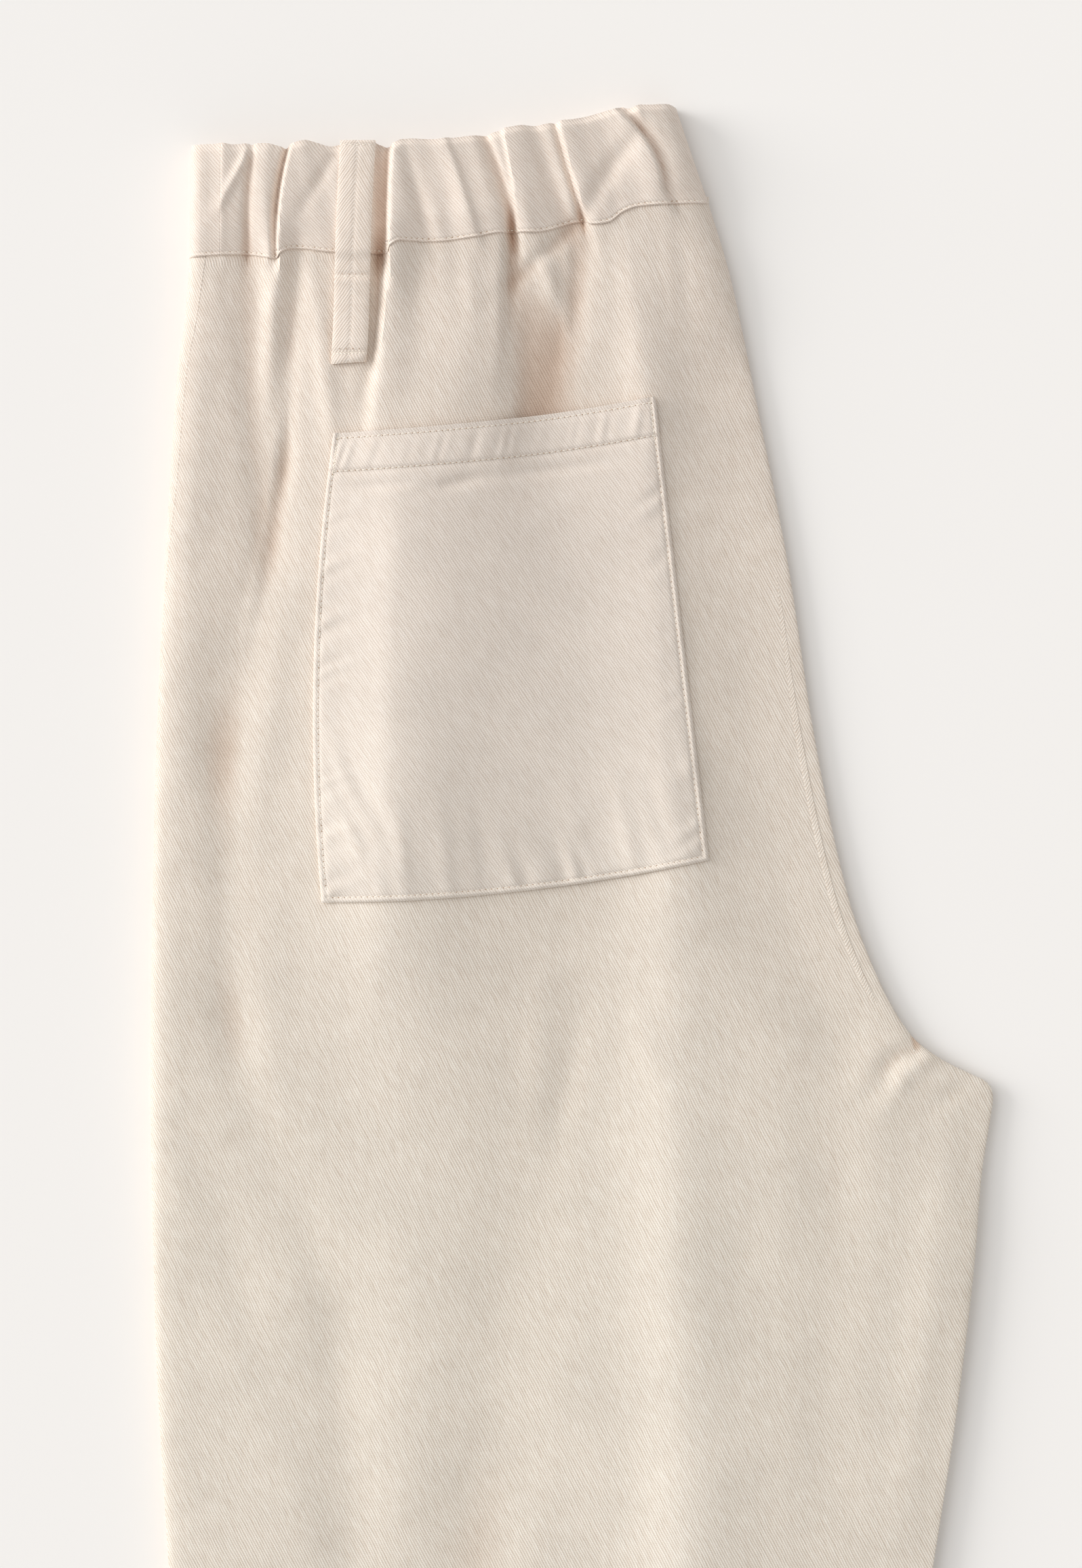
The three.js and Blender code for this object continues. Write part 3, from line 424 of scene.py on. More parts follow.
def twill_group():
    """Diagonal ribs of a two-up one-down twill, its slubby yarns, and the mottling of a washed cloth."""
    g = bpy.data.node_groups.new("washed_twill", "ShaderNodeTree")
    for name, kind in (("Cloth", "Vector"), ("Lean", "Float"), ("Pitch", "Float")):
        g.interface.new_socket(name=name, in_out="INPUT", socket_type="NodeSocket" + kind)
    for name in ("Rib", "Mottle"):
        g.interface.new_socket(name=name, in_out="OUTPUT", socket_type="NodeSocketFloat")
    link = g.links.new
    inp, out = g.nodes.new("NodeGroupInput"), g.nodes.new("NodeGroupOutput")

    def maths(op, *values):
        m = add_node(g, "Math", operation=op)
        for socket, value in zip(m.inputs, values):
            if isinstance(value, (int, float)):
                socket.default_value = value
            else:
                link(value, socket)
        return m.outputs[0]

    def noise(where, **values):
        made = add_node(g, "TexNoise", **values)
        link(where, made.inputs["Vector"])
        return made.outputs

    def stretched(where, scale, detail):
        """Noise drawn out along one way of the cloth."""
        mapping = add_node(g, "Mapping", Scale=scale)
        link(where, mapping.inputs["Vector"])
        return noise(mapping.outputs[0], Scale=1, Detail=detail)["Fac"]

    cloth = inp.outputs["Cloth"]
    bend = add_node(g, "VectorMath", operation="MULTIPLY_ADD")
    link(noise(cloth, Scale=90, Detail=2)["Color"], bend.inputs[0])
    bend.inputs[1].default_value = (0.0009, 0.0009, 0)
    link(cloth, bend.inputs[2])
    turn = add_node(g, "VectorRotate", rotation_type="Z_AXIS")
    link(bend.outputs[0], turn.inputs["Vector"])
    link(inp.outputs["Lean"], turn.inputs["Angle"])
    part = add_node(g, "SeparateXYZ")
    link(turn.outputs[0], part.inputs[0])
    phase = maths("DIVIDE", part.outputs["X"], inp.outputs["Pitch"])
    rib = maths("SINE", maths("MULTIPLY", phase, 2 * math.pi))
    step = maths("ADD", maths("DIVIDE", part.outputs["Y"], CROSSING), maths("MULTIPLY", phase, 0.37))
    crossing = maths("SINE", maths("MULTIPLY", step, 2 * math.pi))
    warp, weft = stretched(cloth, (1500, 120, 1), 1), stretched(cloth, (110, 1400, 1), 1)
    slub = maths("MULTIPLY", maths("ADD", warp, weft), 0.5)
    streak = stretched(turn.outputs[0], (1000, 130, 1), 2)
    height = maths("ADD", maths("MULTIPLY", rib, 0.21), maths("MULTIPLY", crossing, 0.05))
    height = maths("ADD", height, maths("MULTIPLY", maths("SUBTRACT", slub, 0.5), 0.3))
    height = maths("ADD", height, maths("MULTIPLY", maths("SUBTRACT", streak, 0.5), 0.6))
    link(maths("ADD", height, 0.5), out.inputs["Rib"])
    link(noise(cloth, Scale=26, Detail=4, Roughness=0.6)["Fac"], out.inputs["Mottle"])
    return g


washed_twill = twill_group()


def twill_finish(name, light, dark, lean):
    """A cream twill, leaning by some degrees as the piece was cut: light on its ribs and dark between them,
    the dark partly the yarns' own tone and partly painted shade in the grooves.
    """
    material = bpy.data.materials.new(name)
    material.use_nodes = True
    tree = material.node_tree
    link = tree.links.new
    shader = set_values(tree.nodes["Principled BSDF"], Roughness=0.9, Specular_IOR_Level=0.22,
                        Sheen_Weight=0.18, Sheen_Roughness=0.45, Sheen_Tint=colour(255, 244, 232))
    place = add_node(tree, "UVMap").outputs["UV"]
    weave = add_node(tree, "Group", node_tree=washed_twill, Lean=math.radians(lean), Pitch=WALE)
    link(place, weave.inputs["Cloth"])
    # Painted shade: the grooves between the ribs take the dark colour, which also carries the yarns' own
    # slubs and streaks
    yarn_tone_and_groove_shade = add_node(tree, "Mix", data_type="RGBA", A=colour(*dark), B=colour(*light))
    link(weave.outputs["Rib"], yarn_tone_and_groove_shade.inputs["Factor"])
    # Painted shade and highlight: a hollow is painted warmer and darker, standing for light bounced between
    # the cloth's own walls, and a ridge is painted a little lighter and cooler
    hollow = add_node(tree, "Attribute", attribute_name="hollow")
    depth = add_node(tree, "MapRange", From_Min=-1)
    link(hollow.outputs["Fac"], depth.inputs["Value"])
    painted_shade_ramp = add_node(tree, "ValToRGB")
    stops = painted_shade_ramp.color_ramp.elements
    stops[0].color, stops[1].color = (1.04, 1.05, 1.06, 1), (0.70, 0.55, 0.46, 1)
    stops.new(0.62).color = (1, 1, 1, 1)
    link(depth.outputs["Result"], painted_shade_ramp.inputs["Fac"])
    shade_painted_colour = add_node(tree, "Mix", data_type="RGBA", blend_type="MULTIPLY", Factor=1)
    link(yarn_tone_and_groove_shade.outputs["Result"], shade_painted_colour.inputs["A"])
    link(painted_shade_ramp.outputs["Color"], shade_painted_colour.inputs["B"])
    # The cloth is a little warmer up at the waist
    height = add_node(tree, "SeparateXYZ")
    link(place, height.inputs[0])
    upward = add_node(tree, "MapRange", From_Min=0.08, From_Max=0.42)
    link(height.outputs["Y"], upward.inputs["Value"])
    blush = add_node(tree, "Mix", data_type="RGBA", blend_type="MULTIPLY", B=(1.0, 0.972, 0.98, 1))
    link(upward.outputs["Result"], blush.inputs["Factor"])
    link(shade_painted_colour.outputs["Result"], blush.inputs["A"])
    # Uneven fading from the wash
    wash = add_node(tree, "MapRange", From_Min=0.3, From_Max=0.7, To_Min=0.955, To_Max=1.035)
    link(weave.outputs["Mottle"], wash.inputs["Value"])
    faded = add_node(tree, "VectorMath", operation="SCALE")
    link(blush.outputs["Result"], faded.inputs[0])
    link(wash.outputs["Result"], faded.inputs["Scale"])
    link(faded.outputs[0], shader.inputs["Base Color"])
    bump = add_node(tree, "Bump", Strength=0.7, Distance=0.00026)
    link(weave.outputs["Rib"], bump.inputs["Height"])
    link(bump.outputs["Normal"], shader.inputs["Normal"])
    return material


back_left.data.materials.append(twill_finish("panel_twill", (252, 247, 237), (201, 184, 166), -28))
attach(back_left, "root")
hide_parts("back_left")

# LEFT FRONT PANEL
# The front of the left leg. Only a strip of it shows, beside the side seam and round the outseam fold; the
# rest lies flat under the back panel, to the inseam below the crotch and to the centre front above it.
FOLD_IN = 5.0


def section(rows, runs):
    """The points of a section's runs of (x, z), one after the other."""
    x, z = (np.concatenate([run[i] + 0 * rows["left"] for run in runs], axis=1) for i in (0, 1))
    return np.stack([x, y_at(rows, x), z], -1)


def front_left_face(rows):
    """From the inseam, or the centre front above it, under the back panel and round the outseam fold."""
    legs, right, seam, parting = (rows[n] for n in ("legs", "right", "right_seam", "right_parting"))
    dip_x, fold_start = right - rows["right_dip"], rows["left"] + FOLD_IN + 3
    share, turn = spread(0, 1, 7), spread(0, 1, 7) * QUARTER
    lobe_x = dip_x + (rows["right_dip"] - 0.2) * np.cos(turn)
    lobe_z = seam - 0.25 - (seam - 0.25 - parting) * np.sin(turn)
    lobe = (mix(right - 5 - 2 * share, lobe_x, legs), mix(parting + 0.6, lobe_z, legs))
    run = spread(0, 1, 26)
    under_x = mix(mix(right - 8, fold_start, run), mix(dip_x - 1, fold_start, run), legs)
    under = (under_x, mix(parting + 0.1, rows["parting"], smoothstep(run)))
    turn = spread(1, 0, 10) * QUARTER
    fold = (rows["left"] + FOLD_IN - FOLD_IN * np.cos(turn),
            rows["high"] - (rows["high"] - rows["parting"]) * np.sin(turn))
    strip = left_roll(rows, mix(0.03, 1, spread(0, 1, 6)) * (seam_angle(rows) - 0.004))
    return np.concatenate([section(rows, [lobe, under, fold]), strip], axis=1)


front_rows = leg_rows(np.append(leg_y[:-1:2], leg_y[-1]))
front_left = sew("front_left_cloth", front_left_face(front_rows), CLOTH, anchor=1.0)
front_left.data.materials.append(back_left.data.materials[0])
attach(front_left, "root")
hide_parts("front_left")

# RIGHT LEG
# Front and back of the right leg, folded under the left one. The back lies on the floor, rounds the
# outseam fold and comes over as the front; both meet at the inseam. It stands for the hidden layers.


def right_leg_face(rows):
    """From the inseam along the floor, round the outseam fold and back over the top."""
    legs, left, right, meet = rows["legs"], rows["left"], rows["right"], rows["right_parting"]
    edge = right - mix(0.2, 0.8, legs)
    low, high, top = mix(2.6, (meet - 0.4) / 2, legs), (rows["parting"] - 0.4) / 2, rows["parting"] - 0.4
    turn, run = spread(0, 1, 7) * QUARTER, spread(0, 1, 24)
    back, rise = turn[:, ::-1], spread(1, 0, 4)[:, :-1]
    end = mix(right - 8, edge - 4, legs)
    close_x = mix(end + 0.3, edge - 4 + 4 * np.cos(back[:, 1:]), legs)
    close_z = mix(meet - 0.6, low + 0.15 + (meet - 0.65 - low) * np.sin(back[:, 1:]), legs)
    return section(rows, [
        (edge + 0 * rise, mix(low, rows["right_seam"] - 0.3, rise * (1 - legs))),
        (edge - 4 + 4 * np.cos(turn), low - low * np.sin(turn)),
        (mix(edge - 6, left + 6.8, spread(0, 1, 22)), 0 * spread(0, 1, 22)),
        (left + 4.8 - 4 * np.cos(back), high - high * np.sin(back)),
        (left + 5.4 - 4.6 * np.cos(turn[:, 1:]), high + (top - high) * np.sin(turn[:, 1:])),
        (mix(left + 8, end, run), mix(top, meet - 0.5, smoothstep(run))),
        (close_x, close_z),
    ])


right_leg = sew("right_leg_cloth", right_leg_face(front_rows), CLOTH)
right_leg.data.materials.append(back_left.data.materials[0])
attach(right_leg, "root")
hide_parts("hidden_leg_layers")

# WAISTBAND
# A straight band folded over, its back half gathered on wide elastic and its front half flat, sewn on
# with one row of topstitching. It stands proud of the panels and hides their raw edges.
BAND, FRONT_BAND = 2.2, 1.8  # its thickness where it is gathered on elastic, and where it is flat
STAND, BAND_STITCH = 2.4, 0.031  # how proud it stands, and the share of its height at which it is sewn
waist_top = table(
    "x y",
    (-146.0, 489.0), (-123.6, 489.4), (-109.6, 488.6), (-102.1, 489.9), (-93.0, 488.6), (-84.6, 490.2),
    (-76.3, 490.2), (-69.0, 488.9), (-64.9, 490.7), (-50.3, 491.2), (-36.3, 492.8), (-30, 493.6),
    (-24.6, 495.1), (-10.5, 497.2), (2.7, 499.2), (13.7, 502.2), (24.3, 504.2), (36.5, 504.9), (39.8, 503.6),
)
seam_start, seam_end = waist_seam["x"][[0, -1]]
top_start, top_end = waist_top["x"][[0, -1]]


def band_rows(up):
    """What a cross section of the waistband needs, for rows at shares up of its height."""
    up = np.asarray(up, float)[:, None]
    edge = smoothstep((up - 0.93) / 0.07)
    lip = smoothstep((0.010 - up) / 0.010)
    sewn = np.exp(-((up - BAND_STITCH) / 0.009) ** 2)
    crown = 14.2 + mix(1.1, STAND, smoothstep(up / 0.3)) + 0.4 * up - 1.9 * edge - 1.3 * lip - 0.3 * sewn
    return dict(up=up, left=mix(seam_start, top_start, up), right=mix(seam_end, top_end, up), crown=crown,
                high=8.6 + 0 * up, parting=5.6 + 0 * up, strip=mix(11.8, 11.4, up), right_seam=6 + 0 * up)


def band_y(rows, x):
    """Between the waist seam and a top edge that the gathers push up and down."""
    across = np.clip((x - rows["left"]) / (rows["right"] - rows["left"]), 0, 1)
    seam = along(waist_seam, "x", "y", mix(seam_start, seam_end, across))
    top = along(waist_top, "x", "y", mix(top_start, top_end, across))
    top = top + 0.36 * np.clip(fold_heights(gathers, x, top - 3), -3, 3)
    return mix(seam, top + 0.4 * unevenness(x, 0 * x, 4.6, 40, 17), rows["up"])


def band_point(rows, x, height, edge_z):
    """Points of the band at x, a share height of the way up from its edge to its gathered face."""
    y = band_y(rows, x)
    gather = relief(x, y) + 0.40 * unevenness(x + 0.2 * y, y, 5.0, 40, 11)
    return np.stack([x, y, edge_z + (rows["crown"] + gather - edge_z) * height], -1)


def band_left_roll(rows, turn):
    x = rows["left"] + BAND_ROLL_LEFT * (1 - np.cos(turn))
    return band_point(rows, x, np.sin(turn) ** LEFT_ROUND, rows["high"])


def band_face(rows, start):
    """From the angle start on the left roll over to the centre back fold."""
    x = mix(rows["left"] + BAND_ROLL_LEFT, rows["right"] - BAND_ROLL_RIGHT, spread(0, 1, 236)[:, 1:-1])
    flat = band_point(rows, x, 1.0, 0 * x)
    turn = spread(1, 0, 12) * QUARTER
    x = rows["right"] - BAND_ROLL_RIGHT * (1 - np.cos(turn))
    right = band_point(rows, x, np.sin(turn), rows["right_seam"])
    return np.concatenate([band_left_roll(rows, mix(start, QUARTER, spread(0, 1, 6))), flat, right], axis=1)


band = band_rows(np.concatenate([
    [0, 0.005, 0.011, 0.019, 0.026, BAND_STITCH, 0.037, 0.046, 0.06],
    np.linspace(0.075, 0.92, 30), [0.94, 0.955, 0.97, 0.985, 1],
]))
join = np.arccos(1 - band["strip"] / BAND_ROLL_LEFT)
band_back = sew("waistband_back_left_cloth", band_face(band, join + 0.003), BAND, creased=True)
band_back.data.materials.append(twill_finish("band_twill", (252, 246, 236), (211, 194, 178), -42))
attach(band_back, "root")
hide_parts("waistband_back_left")


def band_front_face(rows, start):
    """From under the back band, round the outseam fold and up to the join."""
    high, parting = rows["high"], rows["parting"]
    x = mix(rows["right"] - 14, rows["left"] + FOLD_IN + 3, spread(0, 1, 30))
    under = np.stack([x, band_y(rows, x), parting + 0 * x], -1)
    turn = spread(1, 0, 8) * QUARTER
    x = rows["left"] + FOLD_IN - FOLD_IN * np.cos(turn)
    fold = np.stack([x, band_y(rows, x), high - (high - parting) * np.sin(turn)], -1)
    return np.concatenate([under, fold, band_left_roll(rows, mix(0.04, 1, spread(0, 1, 8)) * start)], axis=1)


band_front = sew("waistband_front_left_cloth", band_front_face(band, join - 0.003), FRONT_BAND, anchor=1.0)
band_front.data.materials.append(band_back.data.materials[0])
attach(band_front, "root")
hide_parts("waistband_front_left")


def band_right_face(rows):
    """The right half of the band under it, along the floor, round the outseam fold and back."""
    left, right = rows["left"], rows["right"]
    turn = spread(0, 1, 7) * QUARTER
    rise = spread(5.6, 2.6, 4)[:, :-1]
    floor_x = mix(right - 6.2, left + 6.8, spread(0, 1, 30))
    runs = [
        (right - 0.2 + 0 * rise, rise),
        (right - 4.2 + 4 * np.cos(turn), 2.6 - 2.6 * np.sin(turn)),
        (floor_x, 0 * floor_x),
        (left + 4.8 - 4 * np.cos(turn[:, ::-1]), 2.6 - 2.6 * np.sin(turn[:, ::-1])),
        (left + 5.4 - 4.6 * np.cos(turn[:, 1:]), 2.6 + 2.5 * np.sin(turn[:, 1:])),
        (mix(left + 8, right - 14, spread(0, 1, 30)), 5.1 + 0 * floor_x),
    ]
    x, z = (np.concatenate([r[i] + 0 * left for r in runs], axis=1) for i in (0, 1))
    return np.stack([x, band_y(rows, x), z], -1)


band_right = sew("waistband_right_cloth", band_right_face(band), FRONT_BAND)
band_right.data.materials.append(band_back.data.materials[0])
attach(band_right, "root")
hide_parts("hidden_waistband_layers")

# BACK POCKET
# A patch of the same twill with a turned mouth, its other edges turned under and sewn down with one row
# of stitching close to the edge. It lies on the back panel and takes its folds.
# Its corners on the panel
pocket_top_left, pocket_top_right = np.array([-91.4, 378.5]), np.array([31.6, 392.8])
pocket_low_left, pocket_low_right = np.array([-96.0, 199.2]), np.array([52.3, 215.4])
POCKET_WIDTH, POCKET_DEPTH, POCKET_HEM = 138.0, 178.0, 14.5
STITCH_IN = 2.0  # its stitches from the edge


def pocket_place(across, down):
    """Where on the panel a share of the pocket's width and depth lies."""
    top = mix(pocket_top_left, pocket_top_right, across[..., None])
    low = mix(pocket_low_left, pocket_low_right, across[..., None])
    place = mix(top, low, down[..., None])
    place[..., 0] -= 5.4 * 4 * down * (1 - down) * (1 - across)
    place[..., 1] += 4 * across * (1 - across) * mix(-2.2, -4.0, down)
    return place


def panel_height(x, y):
    """Height of the back panel's outer face on its flat."""
    return along(outseam, "y", "crown", y) + panel_relief(x, y)


def lay_over(under, sewn, passes):
    """Cloth stretched over the heights under it, and held down where sewn."""
    z = under.copy()
    for _ in range(passes):
        wide = np.pad(z, 1, mode="edge")
        mean = (wide[:-2, 1:-1] + wide[2:, 1:-1] + wide[1:-1, :-2] + wide[1:-1, 2:]) / 4
        z = np.where(sewn, under, np.maximum(mean, under))
    return z


def pocket_grid():
    """Shares of the pocket's depth and width, closer together at its edges and its hem."""
    close = np.array([0, 0.4, 0.8, 1.2, 1.6, 2.0, 2.4, 2.8, 3.4, 4.2])
    run = np.concatenate([close, np.linspace(5.2, 132.8, 112), POCKET_WIDTH - close[::-1]])
    hem = [14.9, 14.2, 13.5, 12.8, 11.6, *np.linspace(10.4, 3.4, 6), 2.4, 1.2, 0.6, 0.0]
    fall = np.concatenate([POCKET_DEPTH - close, np.linspace(172.8, 15.8, 126), hem])
    return np.meshgrid(fall / POCKET_DEPTH, run / POCKET_WIDTH, indexing="ij")


def pocket_face():
    down, across = pocket_grid()
    place = pocket_place(across, down)
    x, y = place[..., 0], place[..., 1]
    to_left, to_right = across * POCKET_WIDTH, (1 - across) * POCKET_WIDTH
    to_low, to_top = (1 - down) * POCKET_DEPTH, down * POCKET_DEPTH
    edge = np.minimum(np.minimum(to_left, to_right), to_low)
    inside = 4 * across * (1 - across)
    puff = 0.5 * np.sqrt(inside) * smoothstep(to_low / 30)
    mouth = smoothstep(1 - down / 0.3) * inside
    hem = 0.6 * smoothstep((POCKET_HEM + 0.6 - to_top) / 1.2)
    hem -= 0.5 * np.exp(-((to_top - POCKET_HEM) / 0.8) ** 2)
    hem -= 0.35 * np.exp(-((to_top - STITCH_IN) / 0.7) ** 2)
    pucker = 0.30 * ripple(to_left + 0.25 * to_top, 9, 4.6) * np.exp(-((to_top - 9) / 6) ** 2)
    for height, run, pitch, seed, off, reach in (
        (0.50, to_top + 0.35 * to_left, 13, 1.0, to_left, 11),
        (0.38, to_top - 0.4 * to_right, 17, 2.0, to_right, 10),
        (0.62, to_left + 0.2 * to_low, 15, 3.0, to_low, 13),
    ):
        pucker += height * ripple(run, pitch, seed) * np.exp(-(off / reach) ** 2) * smoothstep(off / 4)
    soft_side = np.where(to_left < 4, 0.5, 1.0)  # the side towards the outseam lies flatter
    sewn = 0.4 * smoothstep((2.6 - edge) / 1.1) - 0.4 * soft_side * np.exp(-((edge - STITCH_IN) / 0.55) ** 2)
    sewn -= 0.9 * soft_side * smoothstep((0.7 - edge) / 0.7)
    z = lay_over(panel_height(x, y), edge < 1.7, 90) + CLOTH + GAP
    z += puff + mouth + hem + pucker + fold_heights(pocket_creases, x, y) + sewn
    return np.stack([x, y, z], -1)


pocket_creases = table(
    FOLD_COLUMNS,
    (-90, 236, -80, 214, 1, 4, 2.5, 0.4, 0.9, 0.3),
    (-84, 248, -70, 222, 1, 3, 4, -0.4, -0.8, -0.3),
    (-92, 262, -84, 240, 0, 3, 3, 0.3, 0.6, 0.2),
    (-66, 226, -64, 208, 0, 4, 3, 0.5, 0.8, 0.4),
    (-50, 228, -47, 207, 0, 4, 3, 0.3, 0.6, 0.4),
    (-36, 229, -33, 207, 0, 3, 4, -0.3, -0.5, -0.3),
    (0, 232, 4, 209, 0, 5, 4, 0.3, 0.6, 0.4),
    (18, 238, 24, 213, 0, 4, 4, 0.4, 0.7, 0.4),
    (32, 236, 38, 216, 0, 3, 4, -0.4, -0.6, -0.3),
    (42, 262, 50, 238, 0, 4, 3, 0.3, 0.5, 0.2),
    (-52, 358, -34, 362, 0, 2.5, 2.0, -0.5, -1.4, -0.3),
    (-30, 362, 16, 368, 0, 2.2, 2.0, -0.4, -1.0, -0.2),
    (-84, 358, -60, 359, 0, 2.0, 1.8, -0.4, -0.9, -0.2),
)
pocket_points = pocket_face()
pocket = sew("back_pocket_cloth", pocket_points, CLOTH)
pocket.data.materials.append(twill_finish("pocket_twill", (249, 243, 234), (209, 195, 180), -36))
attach(pocket, "root")
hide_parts("back_pocket")

# BELT LOOP
# A strap folded from twill, caught in the waistband's top seam, bar-tacked below the waist seam and again
# at its turned lower end. Its raw edges meet in a line down the middle.
LOOP_WIDTH, LOOP_PLY = 13.6, 1.6
LOOP_TOP, LOOP_CROSS, LOOP_BAR = 488.6, 439.0, 409.4  # where it is caught, stitched across and tacked
loop_line = table(
    "y x lift",
    (490.4, -82.0, 0.0), (470, -83.1, 0.5), (447, -84.0, 0.5), (423.4, -84.6, 0.0), (414, -85.0, 0.5),
    (405.6, -85.6, 0.0),
)


def loop_face():
    """The strap laid over the band and the panel, drawn in at its stitches."""
    y = np.linspace(405.4, 490.6, 96)[:, None]
    s = spread(-1, 1, 25)
    s = mix(s, np.sin(s * QUARTER), 0.5)
    middle_x = along(loop_line, "y", "x", y)
    seam = along(waist_seam, "x", "y", middle_x)
    off = s * LOOP_WIDTH / 2
    probe = spread(-1.05, 1.05, 9) * LOOP_WIDTH / 2
    under = panel_height(middle_x + probe, y + 0 * probe)
    under = under.max(axis=1) * 0.6 + under.mean(axis=1) * 0.4
    stiff = np.hanning(17) / np.hanning(17).sum()
    under = np.convolve(np.pad(under, 8, mode="edge"), stiff, mode="valid")[:, None]
    step = STAND * smoothstep((y - seam + 3.5) / 5)
    laid = under + step + LOOP_PLY + 0.35 + along(loop_line, "y", "lift", y)
    z = laid + 0.25 * (1 - s ** 2) - 0.55 * np.abs(s) ** 7 - 0.22 * np.exp(-(off / 0.7) ** 2)
    for at, depth, reach in ((LOOP_CROSS, 1.1, 0.7), (LOOP_BAR, 0.9, 0.9), (LOOP_TOP, 0.4, 1.0)):
        z -= depth * np.exp(-((y - at) / reach) ** 2)
    # The strap buckles above its cross stitches, and its turned ends are rounded
    z += 0.5 * smoothstep((LOOP_CROSS - 1 - y) / 1.2) + 0.6 * np.exp(-((y - 432.5 + 0.5 * off) / 1.3) ** 2)
    z -= 0.8 * smoothstep((406.4 - y) / 1.0) + 1.2 * smoothstep((y - 489.6) / 1.0)
    z -= 1.2 * np.abs(s) ** 3 * smoothstep((409 - y) / 4)
    x = middle_x + off
    z += 0.12 * unevenness(x, y, 4, 9, 21)
    return np.stack([x, y + 0.5 * s * smoothstep((412 - y) / 6), z], -1)


loop_points = loop_face()
loop = sew("belt_loop_cloth", loop_points, LOOP_PLY, mirrored=True)
loop.data.materials.append(twill_finish("loop_twill", (255, 249, 239), (211, 194, 176), -34))
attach(loop, "root")
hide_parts("belt_loop")

# SEAM STITCHING
# Cotton thread a little lighter than the cloth, about four stitches to the centimetre, pulled into the
# twill. Each seam's stitches are one stitch repeated along its line and joined in a single mesh.
STITCH, STITCH_GAP = 1.7, 0.6
THREAD, PULLED_IN = 0.26, 0.05  # half its thickness, and how deep it sinks
bpy.ops.object.select_all(action="DESELECT")
bpy.ops.mesh.primitive_uv_sphere_add(segments=6, ring_count=4, radius=1)
one_stitch = bpy.context.object
stitch_points = np.array([v.co[:] for v in one_stitch.data.vertices])
stitch_faces = sorted(list(p.vertices) for p in one_stitch.data.polygons)  # Blender's own order varies
bpy.data.objects.remove(one_stitch)


def flecked(name, dark, light, scale, **shine):
    """A plain material whose colour varies a little from fibre to fibre."""
    material = bpy.data.materials.new(name)
    material.use_nodes = True
    tree = material.node_tree
    link = tree.links.new
    shader = set_values(tree.nodes["Principled BSDF"], **shine)
    fibre = add_node(tree, "TexNoise", Scale=scale)
    tint = add_node(tree, "Mix", data_type="RGBA", A=colour(*dark), B=colour(*light))
    link(add_node(tree, "TexCoord").outputs["Object"], fibre.inputs["Vector"])
    link(fibre.outputs["Fac"], tint.inputs["Factor"])
    link(tint.outputs["Result"], shader.inputs["Base Color"])
    return material


thread = flecked("cotton_thread", (232, 219, 203), (250, 243, 232), 2500, Roughness=0.7, Sheen_Weight=0.2)
# Painted shade: the dark inside of the needle holes
hole_shade = flecked("needle_hole_shade", (176, 146, 122), (204, 180, 156), 700, Roughness=0.95)


def walk(line):
    """The length of a line of points, and what finds the place at a length along it."""
    run = np.concatenate([[0], np.cumsum(np.linalg.norm(np.diff(line, axis=0), axis=1))])
    return run[-1], lambda s: np.stack([np.interp(s, run, line[:, i]) for i in range(3)], -1)


def stitch_row(line, length=STITCH, gap=STITCH_GAP, thick=THREAD):
    """Stitches along a line of points on the cloth's face: centres, directions and sizes."""
    total, at = walk(line)
    count = max(1, int(total / (length + gap)))
    centre = (np.arange(count) + 0.5) * total / count
    start, end = at(centre - length / 2), at(centre + length / 2)
    return (start + end) / 2 - [0, 0, PULLED_IN], end - start, np.full(count, thick)


def zigzag(line, swing, pitch):
    """A bar tack's close zigzag about a line."""
    total, at = walk(line)
    points = at(np.arange(0, total, pitch / 2))
    points[:, 0] += swing * np.where(np.arange(len(points)) % 2, 1, -1)
    return points


def sew_stitches(name, rows, material=thread):
    """One mesh of the repeated stitch, at the centres, directions and sizes of all rows."""
    centre, way, thick = (np.concatenate(part) for part in zip(*rows))
    size = np.linalg.norm(way, axis=1, keepdims=True)
    a = way / size
    b = np.cross([0, 0, 1], a)
    b /= np.linalg.norm(b, axis=1, keepdims=True)
    c = np.cross(a, b)
    p, thick = stitch_points, thick[:, None, None]
    points = centre[:, None] + (p[None, :, :1] * a[:, None] * size[:, None] * 0.52
                                + p[None, :, 1:2] * b[:, None] * thick
                                + p[None, :, 2:] * c[:, None] * thick * 0.8)
    faces = [[i + k * len(p) for i in f] for k in range(len(centre)) for f in stitch_faces]
    mesh = bpy.data.meshes.new(name)
    mesh.from_pydata((points.reshape(-1, 3) * MM).tolist(), [], faces)
    mesh.shade_smooth()
    mesh.materials.append(material)
    piece = bpy.data.objects.new(name, mesh)
    bpy.context.scene.collection.objects.link(piece)
    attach(piece, "root")


def needle_holes(name, lines):
    """The needle holes between one stitch and the next, pulled open by the thread: small dark marks of
    painted shade where the holes lie.
    """
    rows = [stitch_row(line) for line in lines]
    holes = [((at[1:] + at[:-1]) / 2 + [0, 0, 0.02], way[1:] * 0.3, thick[1:]) for at, way, thick in rows]
    sew_stitches(name, holes, hole_shade)


def on_pocket(across, down):
    """Points on the pocket's face, looked up from its rows and columns."""
    rows, columns = pocket_grid()
    fall, run, height = rows[::-1, 0], columns[0], pocket_points[::-1, :, 2]
    across, down = np.asarray(across, float), np.asarray(down, float)
    i = np.clip(np.searchsorted(fall, down) - 1, 0, len(fall) - 2)
    j = np.clip(np.searchsorted(run, across) - 1, 0, len(run) - 2)
    s = (down - fall[i]) / (fall[i + 1] - fall[i])
    t = (across - run[j]) / (run[j + 1] - run[j])
    z = mix(mix(height[i, j], height[i, j + 1], t), mix(height[i + 1, j], height[i + 1, j + 1], t), s)
    return np.concatenate([pocket_place(across, down), z[:, None]], axis=1)


